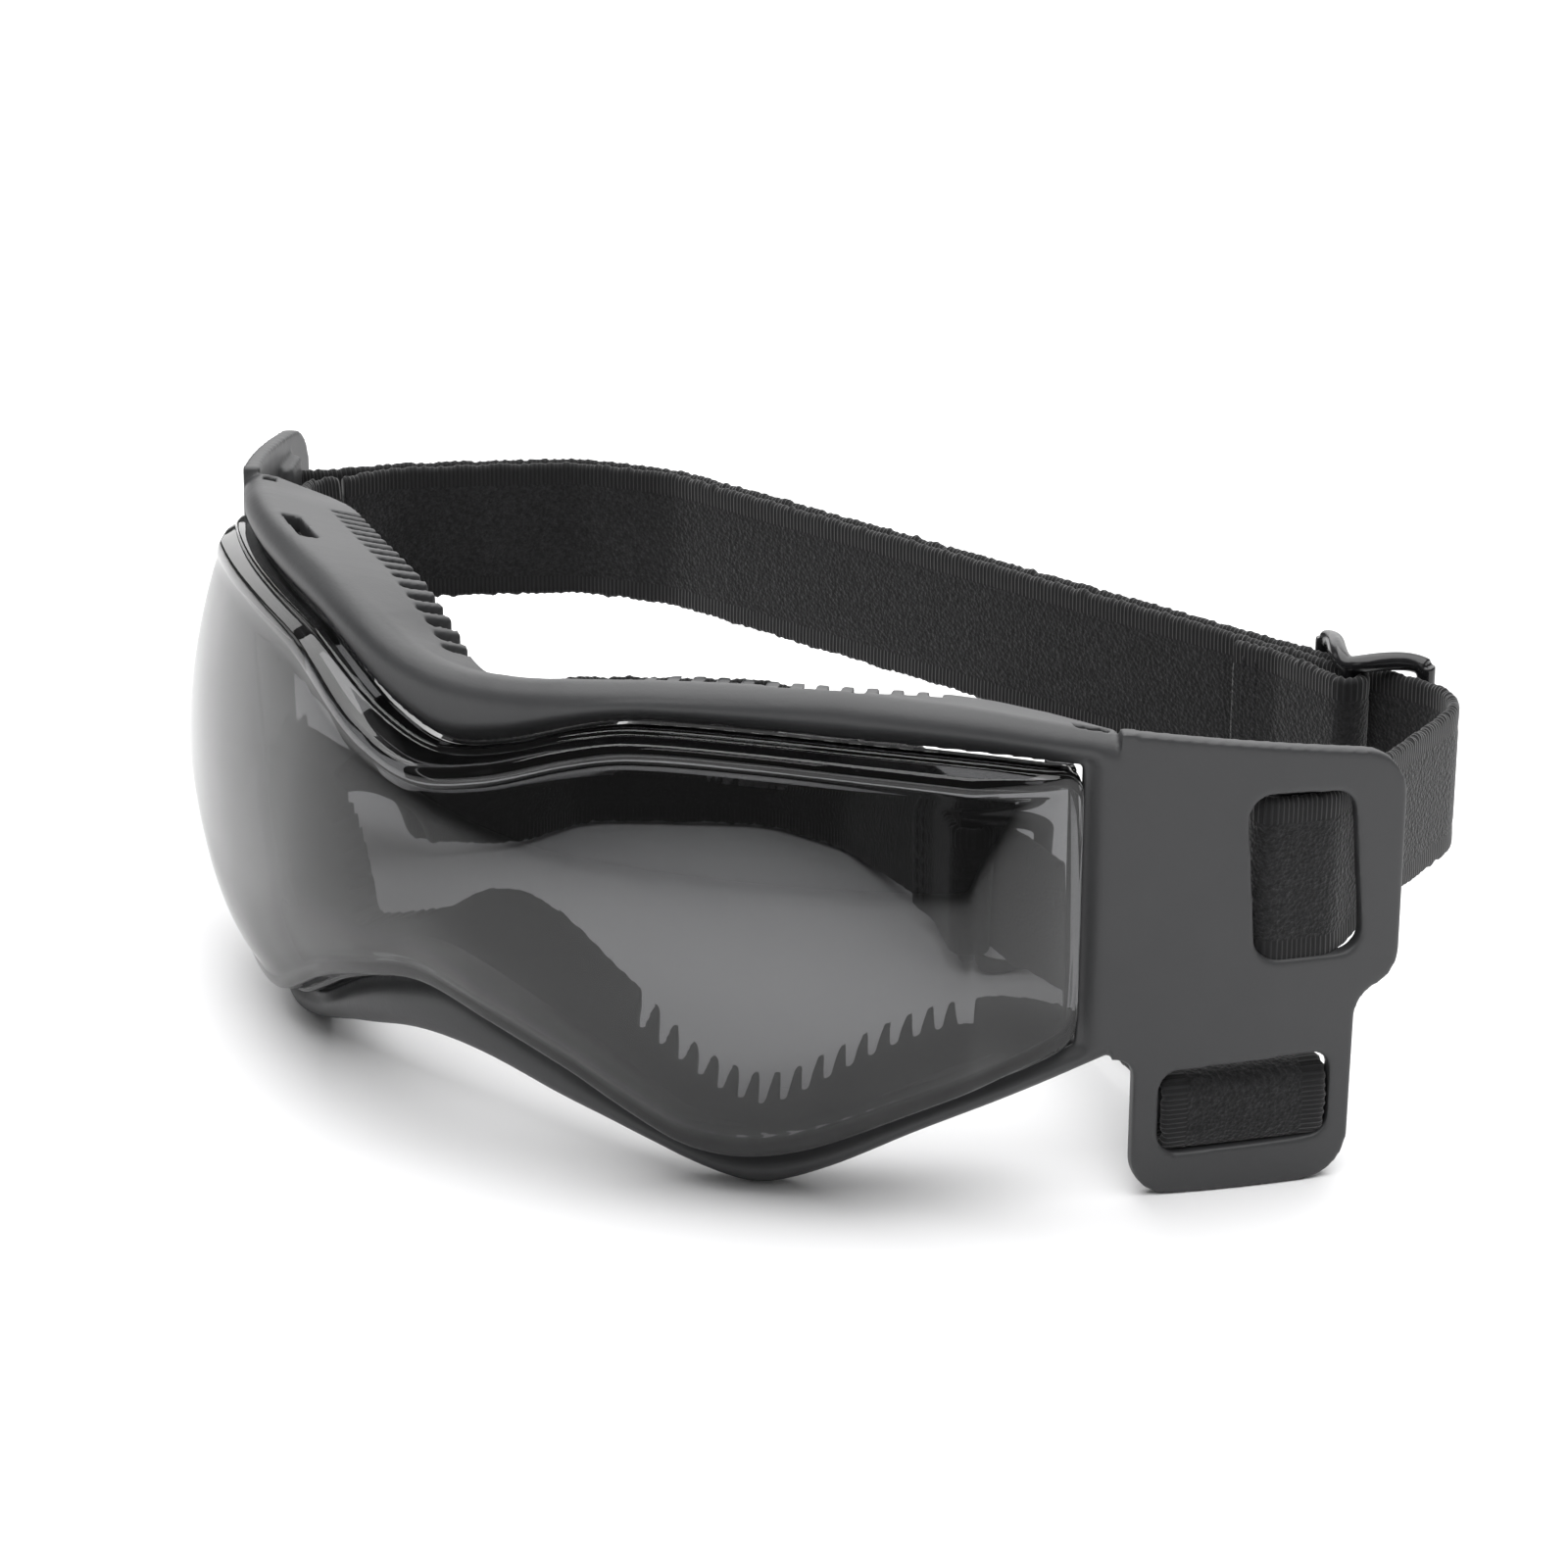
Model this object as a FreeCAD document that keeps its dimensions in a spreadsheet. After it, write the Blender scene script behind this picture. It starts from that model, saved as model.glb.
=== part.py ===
import FreeCAD, Part
import math
import os

from FreeCAD import Vector

# Wrap-around riding goggles that lie on a table: a soft moulded frame with two
# slotted wings, a clip-in shield lens, a head strap and a chin strap, each with a
# three-bar slider.  All sizes in millimetres.
#
# The frame and the lens follow one plan curve: an arc over the nose bridge that runs
# on in a flatter arc to each side.  A place on them is (u, w, z): u is the length
# along that curve from the middle, w the depth inwards from the frame's front face
# and z the height over the table.

SIZES = [
    ("bridge_radius", 62.0, "plan radius over the nose bridge"),
    ("bridge_half", 22.0, "length of that arc on each side"),
    ("side_radius", 140.0, "plan radius of the sides and wings"),
    ("wing_start", 88.0, "where the channel ends and the wing begins"),
    ("wing_end", 127.0, "uncut end of the wing sheet"),
    ("wall", 2.4, "thickness of the frame's walls"),
    ("edge_round", 3.0, "round between the frame's face and its shelves"),
    ("lip_depth", 5.2, "depth of the level lip below the frame's face"),
    ("lens_wall", 2.0, "thickness of the lens"),
    ("lens_gap", 0.3, "room between the lens and its opening"),
    ("lens_end", 83.6, "where the lens ends"),
    ("lens_reach", 8.5, "how far the lens stands out from the frame"),
    ("lens_lean", 0.2, "lean of the lens's upper and lower walls"),
    ("lens_shoulder", 3.5, "round of the lens's front edges"),
    ("bevel_start", 70.0, "where the lens starts to fall back to its ends"),
    ("bar_thick", 2.4, "thickness of the strap bars"),
    ("bar_depth", 3.1, "depth of the middle of the strap bars"),
    ("head_bar_place", 112.1, "place of the head strap's bar"),
    ("head_bar_wide", 7.4, "width of the head strap's bar"),
    ("chin_bar_place", 105.4, "place of the middle of the chin strap's bar"),
    ("chin_bar_wide", 5.5, "width of the chin strap's bar"),
    ("chin_bar_height", 11.6, "height of the chin strap's bar"),
    ("strap_wide", 20.0, "width of the webbing"),
    ("strap_thick", 1.5, "thickness of the webbing"),
    ("strap_pitch", 1.7, "from layer to layer"),
    ("bar_room", 0.1, "room between a bar and the webbing"),
    ("head_strap_height", 41.9, "height of the middle of the head strap"),
    ("head_strap_back", 102.5, "distance of the head strap's straight run"),
    ("head_slider_place", 69.0, "place of the head slider on that run"),
    ("chin_strap_height", 12.9, "height of the middle of the chin strap"),
    ("chin_slider_place", 47.0, "slider's distance from the near end of its run"),
    ("rod", 2.5, "thickness of a slider's rods"),
    ("rod_spacing", 8.0, "from bar to bar of a slider"),
    ("rod_room", 0.2, "room between a slider and the webbing"),
    ("rail_room", 0.4, "room between a rail and the webbing's edge"),
    ("thread", 0.4, "thickness of the sewing thread"),
    ("footprint_middle", 50.9, "from the bridge to the middle of the footprint"),
]

# Outlines as (u, height) on one side of the middle, joined by smooth curves.
FRAME_TOP = [(0, 64.8), (9, 65.2), (18, 66.8), (28, 68.3), (38, 68.6), (50, 68.0), (60, 67.1),
             (70, 65.9), (79, 64.2), (88, 62.5)]
FRAME_BOTTOM = [(0, 12.0), (9, 11.1), (20, 7.8), (28, 4.9), (36, 1.8), (43.5, 0.0), (52, 2.5),
                (64, 8.4), (76, 13.6), (88, 18.9)]
LENS_TOP = [(0, 53.5), (9.5, 55.4), (20.5, 59.2), (28.5, 60.9), (43, 61.2), (59, 60.4), (72, 59.2),
            (84, 57.5)]
LENS_BOTTOM = [(0, 21.0), (10.5, 18.4), (20, 14.5), (28, 10.0), (35, 6.4), (41, 5.3), (47, 5.9),
               (53, 7.8), (64, 12.8), (74, 17.2), (84, 21.4)]
# Outlines as (u, depth): how far the brow shelf and the cheek shelf reach inwards.
TOP_REACH = [(0, 10.5), (6, 12.0), (13, 14.2), (22, 15.0), (34, 16.0), (54, 16.2), (72, 15.0),
             (80, 12.4), (88, 5.0)]
BOTTOM_REACH = [(0, 16.0), (14, 15.6), (24, 14.6), (31, 13.0), (38, 12.0), (44, 12.2), (50, 13.3),
                (57, 14.4), (65, 14.3), (72, 13.4), (80, 10.5), (88, 5.0)]
# The shelves' slopes as (u, rise): both lean towards the eye, steepest beside the nose.
TOP_RISE = [(0, -0.5), (12, -0.42), (24, -0.30), (40, -0.28), (88, -0.28)]
BOTTOM_RISE = [(0, 0.85), (16, 0.82), (28, 0.68), (40, 0.6), (60, 0.6), (75, 0.5), (88, 0.35)]
LEVEL = [(0, 0), (44, 0), (88, 0)]

# Wing and its two strap windows as (u, height, corner radius).
WING = [(80, 80, 0), (80, 63.85, 0), (125.3, 56.6, 7), (125.3, 27.0, 5), (119.6, 24.5, 4),
        (119.3, 0, 6), (91, 0, 5), (91, 18.9, 2.5), (80, 18.9, 0)]
HEAD_WINDOW = [(104.2, 53.2, 3), (118.2, 52.4, 3), (120.2, 30.6, 3), (105.9, 31.0, 3)]
CHIN_WINDOW = [(94.3, 16.8, 2.5), (116.5, 17.6, 2.5), (116.5, 6.2, 2.5), (94.3, 5.6, 2.5)]

# Breathing slots cut from the shelves' inner edges: first place, count, spacing, width at the
# root and at the mouth, length.
TOP_COMB = (9.3, 17, 3.5, 1.5, 1.6, 4.3)
BOTTOM_COMB = (25.0, 16, 3.0, 0.9, 2.0, 4.2)

# The straps' routes in plan as (x, y, corner radius), from the left wing to the right.
HEAD_ROUTE = [(-83.5, 77.5, 18), (-64.5, 97.0, 18), (-50.0, 102.5, 18), (85.5, 102.5, 8)]
CHIN_ROUTE = [(-67.5, 66.5, 0), (-61.5, 78.0, 16), (-60.5, 92.0, 12), (-38.0, 109.5, 14),
              (-22.0, 109.5, 16), (62.0, 66.0, 0)]

doc = FreeCAD.newDocument("riding_goggles")


def make_sheet():
    """Write the driving dimensions, one row each."""
    table = doc.addObject("Spreadsheet::Sheet", "sizes")
    for row, (alias, value, meaning) in enumerate(SIZES, start=1):
        table.set("A%d" % row, alias)
        table.set("B%d" % row, str(value))
        table.set("C%d" % row, meaning)
        table.setAlias("B%d" % row, alias)
    doc.recompute()
    return table


sheet = make_sheet()


def size(alias):
    """Value of a driving dimension."""
    return float(getattr(sheet, alias))


# ---------------------------------------------------------------- plan curve

BRIDGE_TURN = size("bridge_half") / size("bridge_radius")
BRIDGE_CENTRE = Vector(0, size("bridge_radius"), 0)
SIDE_CENTRE = Vector(
    (size("bridge_radius") - size("side_radius")) * math.sin(BRIDGE_TURN),
    size("bridge_radius") + (size("side_radius") - size("bridge_radius")) * math.cos(BRIDGE_TURN),
    0)


def turn_at(u):
    """Angle between the plan curve and the X axis."""
    place = abs(u)
    if place <= size("bridge_half"):
        angle = place / size("bridge_radius")
    else:
        angle = BRIDGE_TURN + (place - size("bridge_half")) / size("side_radius")
    return math.copysign(angle, u)


def on_frame(u, w, z):
    """Point at length u along the plan curve, depth w and height z."""
    angle = turn_at(u)
    if abs(u) <= size("bridge_half"):
        centre, radius = BRIDGE_CENTRE, size("bridge_radius")
    else:
        centre, radius = Vector(SIDE_CENTRE), size("side_radius")
        centre.x = math.copysign(1, u) * SIDE_CENTRE.x
    inner = radius - w
    return Vector(centre.x + inner * math.sin(angle), centre.y - inner * math.cos(angle), z)


def height(outline, u):
    """Smooth height of an outline at place u: a cubic between each two points."""
    place = abs(u)
    # The outline goes on as its own mirror image past the middle.
    knots = [(-outline[1][0], outline[1][1])] + list(outline)
    end = knots[-1]
    before = knots[-2]
    knots.append((2 * end[0] - before[0], 2 * end[1] - before[1]))
    for i in range(1, len(knots) - 2):
        (u0, z0), (u1, z1), (u2, z2), (u3, z3) = knots[i - 1:i + 3]
        if place <= u2 or i == len(knots) - 3:
            span = u2 - u1
            part = (place - u1) / span
            slope1 = (z2 - z0) / (u2 - u0) * span
            slope2 = (z3 - z1) / (u3 - u1) * span
            return ((2 * part**3 - 3 * part**2 + 1) * z1 + (part**3 - 2 * part**2 + part) * slope1
                    + (3 * part**2 - 2 * part**3) * z2 + (part**3 - part**2) * slope2)
    return end[1]


def stations(end, count):
    """Even places from one side to the other."""
    return [end * (2.0 * i / count - 1.0) for i in range(count + 1)]


def loft(sections):
    """Closed solid through sections that have the same number of corners."""
    wires = [Part.makePolygon(list(points) + [points[0]]) for points in sections]
    solid = Part.makeLoft(wires, True, False)
    if solid.Volume < 0:
        solid.reverse()
    return solid


def frame_arcs(end, w):
    """Arcs of the plan curve at depth w, from the left end to the right."""
    half = size("bridge_half")
    knots = [-end, -half, half, end] if end > half else [-end, end]
    arcs = []
    for start, stop in zip(knots, knots[1:]):
        middle = (start + stop) / 2
        arcs.append(Part.Arc(on_frame(start, w, 0), on_frame(middle, w, 0),
                             on_frame(stop, w, 0)).toShape())
    return arcs


def upright(edges, low, high):
    """Solid that stands on a closed plan outline, from height low to high."""
    face = Part.Face(Part.Wire(Part.__sortEdges__(edges)))
    face.translate(Vector(0, 0, low))
    return face.extrude(Vector(0, 0, high - low))


def plan_line(first, second):
    return Part.LineSegment(first, second).toShape()


def plan_band(end, outer, inner, low, high):
    """Solid between two depths, from one side's end to the other's."""
    edges = frame_arcs(end, outer) + frame_arcs(end, inner)
    for u in (-end, end):
        edges.append(plan_line(on_frame(u, outer, 0), on_frame(u, inner, 0)))
    return upright(edges, low, high)


def smooth_edge(points):
    curve = Part.BSplineCurve()
    curve.interpolate(points)
    return curve.toShape()


def plan_beyond(reach, low, high):
    """Everything deeper than a reach outline, to trim a shelf's inner edge."""
    end, deep = 88.0, 45.0
    points = [on_frame(u, height(reach, u), 0) for u in stations(end, 44)]
    corners = [points[-1] + Vector(4, 4, 0), Vector(points[-1].x + 4, 120, 0),
               Vector(points[0].x - 4, 120, 0), points[0] + Vector(-4, 4, 0)]
    edges = [smooth_edge(points), plan_line(points[-1], corners[0])]
    edges += [plan_line(one, other) for one, other in zip(corners, corners[1:])]
    edges.append(plan_line(corners[3], points[0]))
    return upright(edges, low, high)


def shelf_side(outline, rises, inset, far):
    """Solid from a shelf's surface to height far; inset moves the surface square to itself."""
    front, back = [], []
    before, deep = -4.0, 34.0
    for u in stations(90.0, 60):
        rise = height(rises, u)
        level = height(outline, u) + inset * math.hypot(1.0, rise)
        front.append(on_frame(u, before, level + before * rise))
        back.append(on_frame(u, deep, level + deep * rise))
    surface = Part.makeRuledSurface(smooth_edge(front), smooth_edge(back))
    solid = surface.extrude(Vector(0, 0, far))
    if solid.Volume < 0:
        solid.reverse()
    return solid


def leaning_side(outline, offset, lean, far):
    """Solid from an outline of the face to height far, whose edge rises by lean towards Y."""
    points = []
    for u in stations(90.0, 36):
        place = on_frame(u, 0, 0)
        points.append(Vector(place.x, 0, height(outline, u) + offset - lean * place.y))
    corners = [Vector(points[-1].x, 0, far), Vector(points[0].x, 0, far)]
    wire = Part.Wire([smooth_edge(points), plan_line(points[-1], corners[0]),
                      plan_line(corners[0], corners[1]), plan_line(corners[1], points[0])])
    before, long = 30.0, 130.0
    face = Part.Face(wire)
    face.translate(Vector(0, -before, -before * lean))
    return face.extrude(Vector(0, long, long * lean))


def below(outline, offset, lean):
    return leaning_side(outline, offset, lean, -90.0)


def above(outline, offset, lean):
    return leaning_side(outline, offset, lean, 160.0)


# ---------------------------------------------------------------- flat outlines

def rounded(points, closed):
    """Wire through (x, y, radius) points in the XY plane with tangent arcs at the corners."""
    count = len(points)
    corners = []
    for i, (x, y, radius) in enumerate(points):
        here = Vector(x, y, 0)
        at_end = not closed and i in (0, count - 1)
        if radius == 0 or at_end:
            corners.append((here, None, here))
            continue
        back = Vector(points[i - 1][0], points[i - 1][1], 0) - here
        ahead = Vector(points[(i + 1) % count][0], points[(i + 1) % count][1], 0) - here
        back.normalize()
        ahead.normalize()
        half = back.getAngle(ahead) / 2
        reach = radius / math.tan(half)
        middle = back + ahead
        middle.normalize()
        top = here + middle * (radius / math.sin(half) - radius)
        corners.append((here + back * reach, top, here + ahead * reach))
    edges = []
    for i, (start, top, end) in enumerate(corners):
        if top is not None:
            edges.append(Part.Arc(start, top, end).toShape())
        if i + 1 < count or closed:
            following = corners[(i + 1) % count][0]
            if end.distanceToPoint(following) > 1e-4:
                edges.append(Part.LineSegment(end, following).toShape())
    return edges


def ribbon(points, low, high, thick):
    """Band of constant thickness that stands on a rounded route in plan."""
    pieces = []
    up = Vector(0, 0, high - low)
    for edge in rounded(points, False):
        first, last = edge.ParameterRange
        ends = []
        for place in (first, last):
            heading = edge.tangentAt(place)
            side = Vector(-heading.y, heading.x, 0) * (thick / 2)
            ends.append((edge.valueAt(place) + side, edge.valueAt(place) - side))
        (a, b), (d, c) = ends
        if isinstance(edge.Curve, Part.Line):
            wire = Part.makePolygon([a, b, c, d, a])
        else:
            middle = edge.valueAt((first + last) / 2)
            heading = edge.tangentAt((first + last) / 2)
            side = Vector(-heading.y, heading.x, 0) * (thick / 2)
            wire = Part.Wire([
                Part.Arc(a, middle + side, d).toShape(), Part.LineSegment(d, c).toShape(),
                Part.Arc(c, middle - side, b).toShape(), Part.LineSegment(b, a).toShape()])
        piece = Part.Face(wire).extrude(up)
        piece.translate(Vector(0, 0, low))
        pieces.append(piece)
    return join(pieces)


def join(pieces):
    """One solid from touching pieces."""
    whole = pieces[0]
    if len(pieces) > 1:
        whole = pieces[0].fuse(pieces[1:])
    whole = whole.removeSplitter()
    if len(whole.Solids) == 1:
        return whole.Solids[0]
    return whole


def wing_frame(u):
    """Placement with X along the wing, Y inwards and Z up, at place u on its outer face."""
    turn = FreeCAD.Rotation(Vector(0, 0, 1), math.degrees(turn_at(u)))
    return FreeCAD.Placement(on_frame(u, 0, 0), turn)


def wing_prism(outline, depth_from, depth_to):
    """Prism of a (u, height, radius) outline, square to the wing's middle."""
    middle = 105.0
    flat = [(u - middle, z, radius) for u, z, radius in outline]
    solid = Part.Face(Part.Wire(rounded(flat, True))).extrude(Vector(0, 0, depth_from - depth_to))
    solid.translate(Vector(0, 0, -depth_from))
    solid.rotate(Vector(0, 0, 0), Vector(1, 0, 0), 90)
    solid.Placement = wing_frame(middle).multiply(solid.Placement)
    return solid


def both_sides(shape):
    """A shape and its mirror image across the middle."""
    return [shape, shape.mirror(Vector(0, 0, 0), Vector(1, 0, 0))]


# ---------------------------------------------------------------- frame

def make_lip(start, far):
    """Level lip under the face, which the goggles rest on."""
    lip = plan_band(start, 0, size("lip_depth"), -5, 80)
    lip = lip.common(shelf_side(FRAME_BOTTOM, LEVEL, 0, far))
    lip = lip.common(shelf_side(FRAME_BOTTOM, LEVEL, 2 * size("edge_round"), -far))
    edges = [edge for edge in lip.Edges if is_level(edge) and is_at_depth(edge, 0)]
    lowest = [edge for edge in edges if edge.BoundBox.ZMin < size("edge_round")]
    return lip.makeFillet(size("edge_round"), lowest)


def make_channel():
    """Face and two shelves: a channel that is open towards the wearer."""
    wall, start, far = size("wall"), size("wing_start"), 110.0
    filled = plan_band(start, 0, 26, -5, 80)
    filled = filled.common(shelf_side(FRAME_TOP, TOP_RISE, 0, -far))
    filled = filled.common(shelf_side(FRAME_BOTTOM, BOTTOM_RISE, 0, far))
    front = [edge for edge in filled.Edges if is_level(edge) and is_at_depth(edge, 0)]
    filled = filled.makeFillet(size("edge_round"), front)
    filled = filled.fuse(make_lip(start, far))
    hollow = plan_band(start + 1.5, wall, 29, -5, 80)
    hollow = hollow.common(shelf_side(FRAME_TOP, TOP_RISE, -wall, -far))
    hollow = hollow.common(shelf_side(FRAME_BOTTOM, BOTTOM_RISE, wall, far))
    channel = filled.cut(hollow)
    return channel.cut([plan_beyond(TOP_REACH, 40, 90), plan_beyond(BOTTOM_REACH, -10, 40)])


def make_opening():
    """Window in the frame's face that the lens's rim passes, straight along Y."""
    gap = size("lens_gap")
    opening = plan_band(size("lens_end"), -4, size("wall") + 0.5, 0, 70)
    edge = on_frame(size("lens_end"), 0, 0).x + gap
    opening = opening.common(Part.makeBox(2 * edge, 80, 80, Vector(-edge, -20, -5)))
    return opening.common(below(LENS_TOP, gap, 0)).common(above(LENS_BOTTOM, -gap, 0))


def comb_slots(comb, reach, low, high):
    """Slots in from a shelf's inner edge, with round ends, on the right side."""
    first, count, spacing, root_wide, mouth_wide, long = comb
    slots = []
    for i in range(count):
        u = first + i * spacing
        mouth = height(reach, u)
        root = mouth - long + root_wide / 2
        beyond = 6.0
        spread = (mouth_wide - root_wide) / 2 * (long + beyond) / long
        corners = [(-root_wide / 2, root), (root_wide / 2, root),
                   (root_wide / 2 + spread, mouth + beyond), (-root_wide / 2 - spread, mouth + beyond)]
        outline = [Vector(x, y, low) for x, y in corners]
        body = Part.Face(Part.makePolygon(outline + [outline[0]])).extrude(Vector(0, 0, high - low))
        end = Part.makeCylinder(root_wide / 2, high - low, Vector(0, root, low))
        slot = body.fuse(end)
        slot.Placement = wing_frame(u).multiply(slot.Placement)
        slots.append(slot)
    return slots


def strip(first, last, outer, inner, low, high):
    """Short upright piece between two places and two depths on the right side."""
    middle = (first + last) / 2
    edges = [Part.Arc(on_frame(first, w, 0), on_frame(middle, w, 0), on_frame(last, w, 0)).toShape()
             for w in (outer, inner)]
    edges += [plan_line(on_frame(u, outer, 0), on_frame(u, inner, 0)) for u in (first, last)]
    return upright(edges, low, high)


def clip_windows():
    """Two windows in the brow shelf of each side, over the lens's clips."""
    return [strip(44.0, 56.5, 3.5, 5.8, 62.5, 75), strip(82.7, 87.0, 2.9, 4.6, 58.5, 75)]


def head_bar():
    """Upright bar with round edges behind the head strap's window."""
    wide, thick, long = size("head_bar_wide"), size("bar_thick"), 27.0
    edge = wide / 2 - thick / 2
    points = [(-edge, -thick / 2), (edge, -thick / 2), (edge, thick / 2), (-edge, thick / 2)]
    body = Part.makeBox(2 * edge, thick, long, Vector(points[0][0], points[0][1], 0))
    rounds = [Part.makeCylinder(thick / 2, long, Vector(x, 0, 0)) for x in (-edge, edge)]
    bar = join([body] + rounds)
    bar.translate(Vector(0, size("bar_depth"), size("head_strap_height") - long / 2))
    bar.Placement = wing_frame(size("head_bar_place")).multiply(bar.Placement)
    return bar


def chin_bar():
    """Level bar with round edges behind the chin strap's window."""
    wide, thick, long = size("chin_bar_wide"), size("bar_thick"), 26.6
    edge = wide / 2 - thick / 2
    body = Part.makeBox(long, thick, 2 * edge, Vector(-long / 2, -thick / 2, -edge))
    rounds = [Part.makeCylinder(thick / 2, long, Vector(-long / 2, 0, z), Vector(1, 0, 0))
              for z in (-edge, edge)]
    bar = join([body] + rounds)
    bar.translate(Vector(0, size("bar_depth"), size("chin_bar_height")))
    bar.Placement = wing_frame(size("chin_bar_place")).multiply(bar.Placement)
    return bar


def make_wing():
    """Right wing: a sheet on the side arc, cut to its outline, with windows and bars."""
    start, end = size("wing_start"), size("wing_end")
    middle = (start + end) / 2
    corners = [on_frame(u, w, -5) for u, w in
               ((start, 0), (middle, 0), (end, 0), (end, size("wall")), (middle, size("wall")),
                (start, size("wall")))]
    wire = Part.Wire([
        Part.Arc(corners[0], corners[1], corners[2]).toShape(),
        Part.LineSegment(corners[2], corners[3]).toShape(),
        Part.Arc(corners[3], corners[4], corners[5]).toShape(),
        Part.LineSegment(corners[5], corners[0]).toShape()])
    blank = Part.Face(wire).extrude(Vector(0, 0, 85))
    wing = blank.common(wing_prism(WING, -12, 12))
    wing = wing.cut([wing_prism(HEAD_WINDOW, -6, 9), wing_prism(CHIN_WINDOW, -6, 9)])
    return join([wing, head_bar(), chin_bar()])


def make_frame():
    """Channel round the eyes, two wings, the lens opening, slots and clip windows."""
    channel = make_channel().cut(make_opening())
    cutters = []
    right = comb_slots(TOP_COMB, TOP_REACH, 50, 75) + comb_slots(BOTTOM_COMB, BOTTOM_REACH, -5, 30)
    for shape in right + clip_windows():
        cutters += both_sides(shape)
    channel = channel.cut(cutters)
    # The wings' end faces touch the channel's, so they are joined within a hundredth.
    whole = channel.multiFuse(both_sides(make_wing()), 0.01)
    return whole.removeSplitter().Solids[0]


# ---------------------------------------------------------------- lens

def lens_plan(skin, back):
    """Plan outline of the lens, skin inside its outer face: a front arc and two bevels."""
    start, end = size("bevel_start") - skin * 0.4, size("lens_end") - skin
    front = skin - size("lens_reach")
    edges = frame_arcs(start, front) + frame_arcs(end, back)
    for side in (-1, 1):
        bend = on_frame(side * start, front, 0)
        rim = on_frame(side * end, skin * 0.6 - 1.0, 0)
        edges.append(plan_line(bend, rim))
        edges.append(plan_line(rim, on_frame(side * end, back, 0)))
    return upright(edges, -5, 75)


def lens_tongue(first, last):
    """Tongue on the lens's upper rim that reaches under a clip window."""
    tongue = strip(first, last, 1.0, 5.6, 40, 75)
    return tongue.common(below(LENS_TOP, -0.2, 0)).common(above(LENS_TOP, -2.2, 0))


def make_lens():
    """Shield lens: a shallow tray over both eyes with clips along its upper rim."""
    skin, lean, shoulder = size("lens_wall"), size("lens_lean"), size("lens_shoulder")
    outside = lens_plan(0, size("wall"))
    outside = outside.common(below(LENS_TOP, 0, lean)).common(above(LENS_BOTTOM, 0, -lean))
    front = [edge for edge in outside.Edges
             if is_level(edge) and is_at_depth(edge, -size("lens_reach"))]
    outside = outside.makeFillet(shoulder, front)
    # The rim runs straight along Y, so that the lens pulls out of its opening.
    outside = outside.common(below(LENS_TOP, 0, 0)).common(above(LENS_BOTTOM, 0, 0))
    hollow = lens_plan(skin, size("wall") + 5)
    hollow = hollow.common(below(LENS_TOP, -skin, lean)).common(above(LENS_BOTTOM, skin, -lean))
    hollow = hollow.common(below(LENS_TOP, -skin, 0)).common(above(LENS_BOTTOM, skin, 0))
    tongues = both_sides(lens_tongue(45, 56)) + both_sides(lens_tongue(79, 82.8))
    return join([outside.cut(hollow)] + tongues)


def is_level(edge):
    """True for edges that run along the frame instead of up."""
    middle = (edge.FirstParameter + edge.LastParameter) / 2
    return abs(edge.tangentAt(middle).z) < 0.7


def is_at_depth(edge, depth):
    """True for edges that lie wholly at one depth."""
    first, last = edge.FirstParameter, edge.LastParameter
    return all(abs(depth_of(edge.valueAt(first + (last - first) * part)) - depth) < 0.2
               for part in (0.1, 0.5, 0.9))


def depth_of(point):
    """Depth of a point near the frame's face."""
    flat = Vector(point.x, point.y, 0)
    if abs(point.x) < on_frame(size("bridge_half"), 0, 0).x:
        return size("bridge_radius") - flat.distanceToPoint(BRIDGE_CENTRE)
    centre = Vector(math.copysign(1, point.x) * SIDE_CENTRE.x, SIDE_CENTRE.y, 0)
    return size("side_radius") - flat.distanceToPoint(centre)


# ---------------------------------------------------------------- straps

def wing_place(side, place, s, w):
    """Plan point beside a bar: s along the wing, w inwards; side is 1 right, -1 left."""
    point = wing_frame(place).multVec(Vector(s, w, 0))
    return (side * point.x, point.y)


def offset_route(points, distance):
    """Route moved to its right, corner by corner; radii change with it."""
    moved = []
    for i, (x, y, radius) in enumerate(points):
        headings = []
        if i > 0:
            headings.append(Vector(x - points[i - 1][0], y - points[i - 1][1], 0))
        if i + 1 < len(points):
            headings.append(Vector(points[i + 1][0] - x, points[i + 1][1] - y, 0))
        for heading in headings:
            heading.normalize()
        sides = [Vector(h.y, -h.x, 0) for h in headings]
        middle = sides[0] + sides[-1]
        middle.normalize()
        reach = distance / middle.dot(sides[0])
        right_turn = len(headings) == 2 and headings[0].cross(headings[1]).z < 0
        change = -distance if right_turn else distance
        moved.append((x + middle.x * reach, y + middle.y * reach,
                      max(radius + change, 1.0) if radius else 0))
    return moved


HALF_WIDE = size("strap_wide") / 2
THICK = size("strap_thick")
PITCH = size("strap_pitch")
# Radius of the webbing's middle round a bar, and its depth before and behind the bar.
WRAP = size("bar_thick") / 2 + size("bar_room") + THICK / 2
BEFORE = size("bar_depth") - WRAP
BEHIND = size("bar_depth") + WRAP


def head_levels():
    return size("head_strap_height") - HALF_WIDE, size("head_strap_height") + HALF_WIDE


def head_wrap(side, back_end):
    """Corners round the head strap's bar: from behind it, round its front edge, over it."""
    place = size("head_bar_place")
    edge = size("head_bar_wide") / 2 - size("bar_thick") / 2 + WRAP
    corners = [(edge * 0.2, BEHIND, 3.0), (-edge, BEHIND, WRAP - 0.02), (-edge, BEFORE, WRAP - 0.02),
               (back_end, BEFORE, WRAP)]
    return [wing_place(side, place, s, w) + (radius,) for s, w, radius in corners]


def straight_back(start, towards, length):
    """Point at a distance from start towards another point."""
    heading = Vector(towards[0] - start[0], towards[1] - start[1], 0)
    heading.normalize()
    return (start[0] + heading.x * length, start[1] + heading.y * length)


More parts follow.
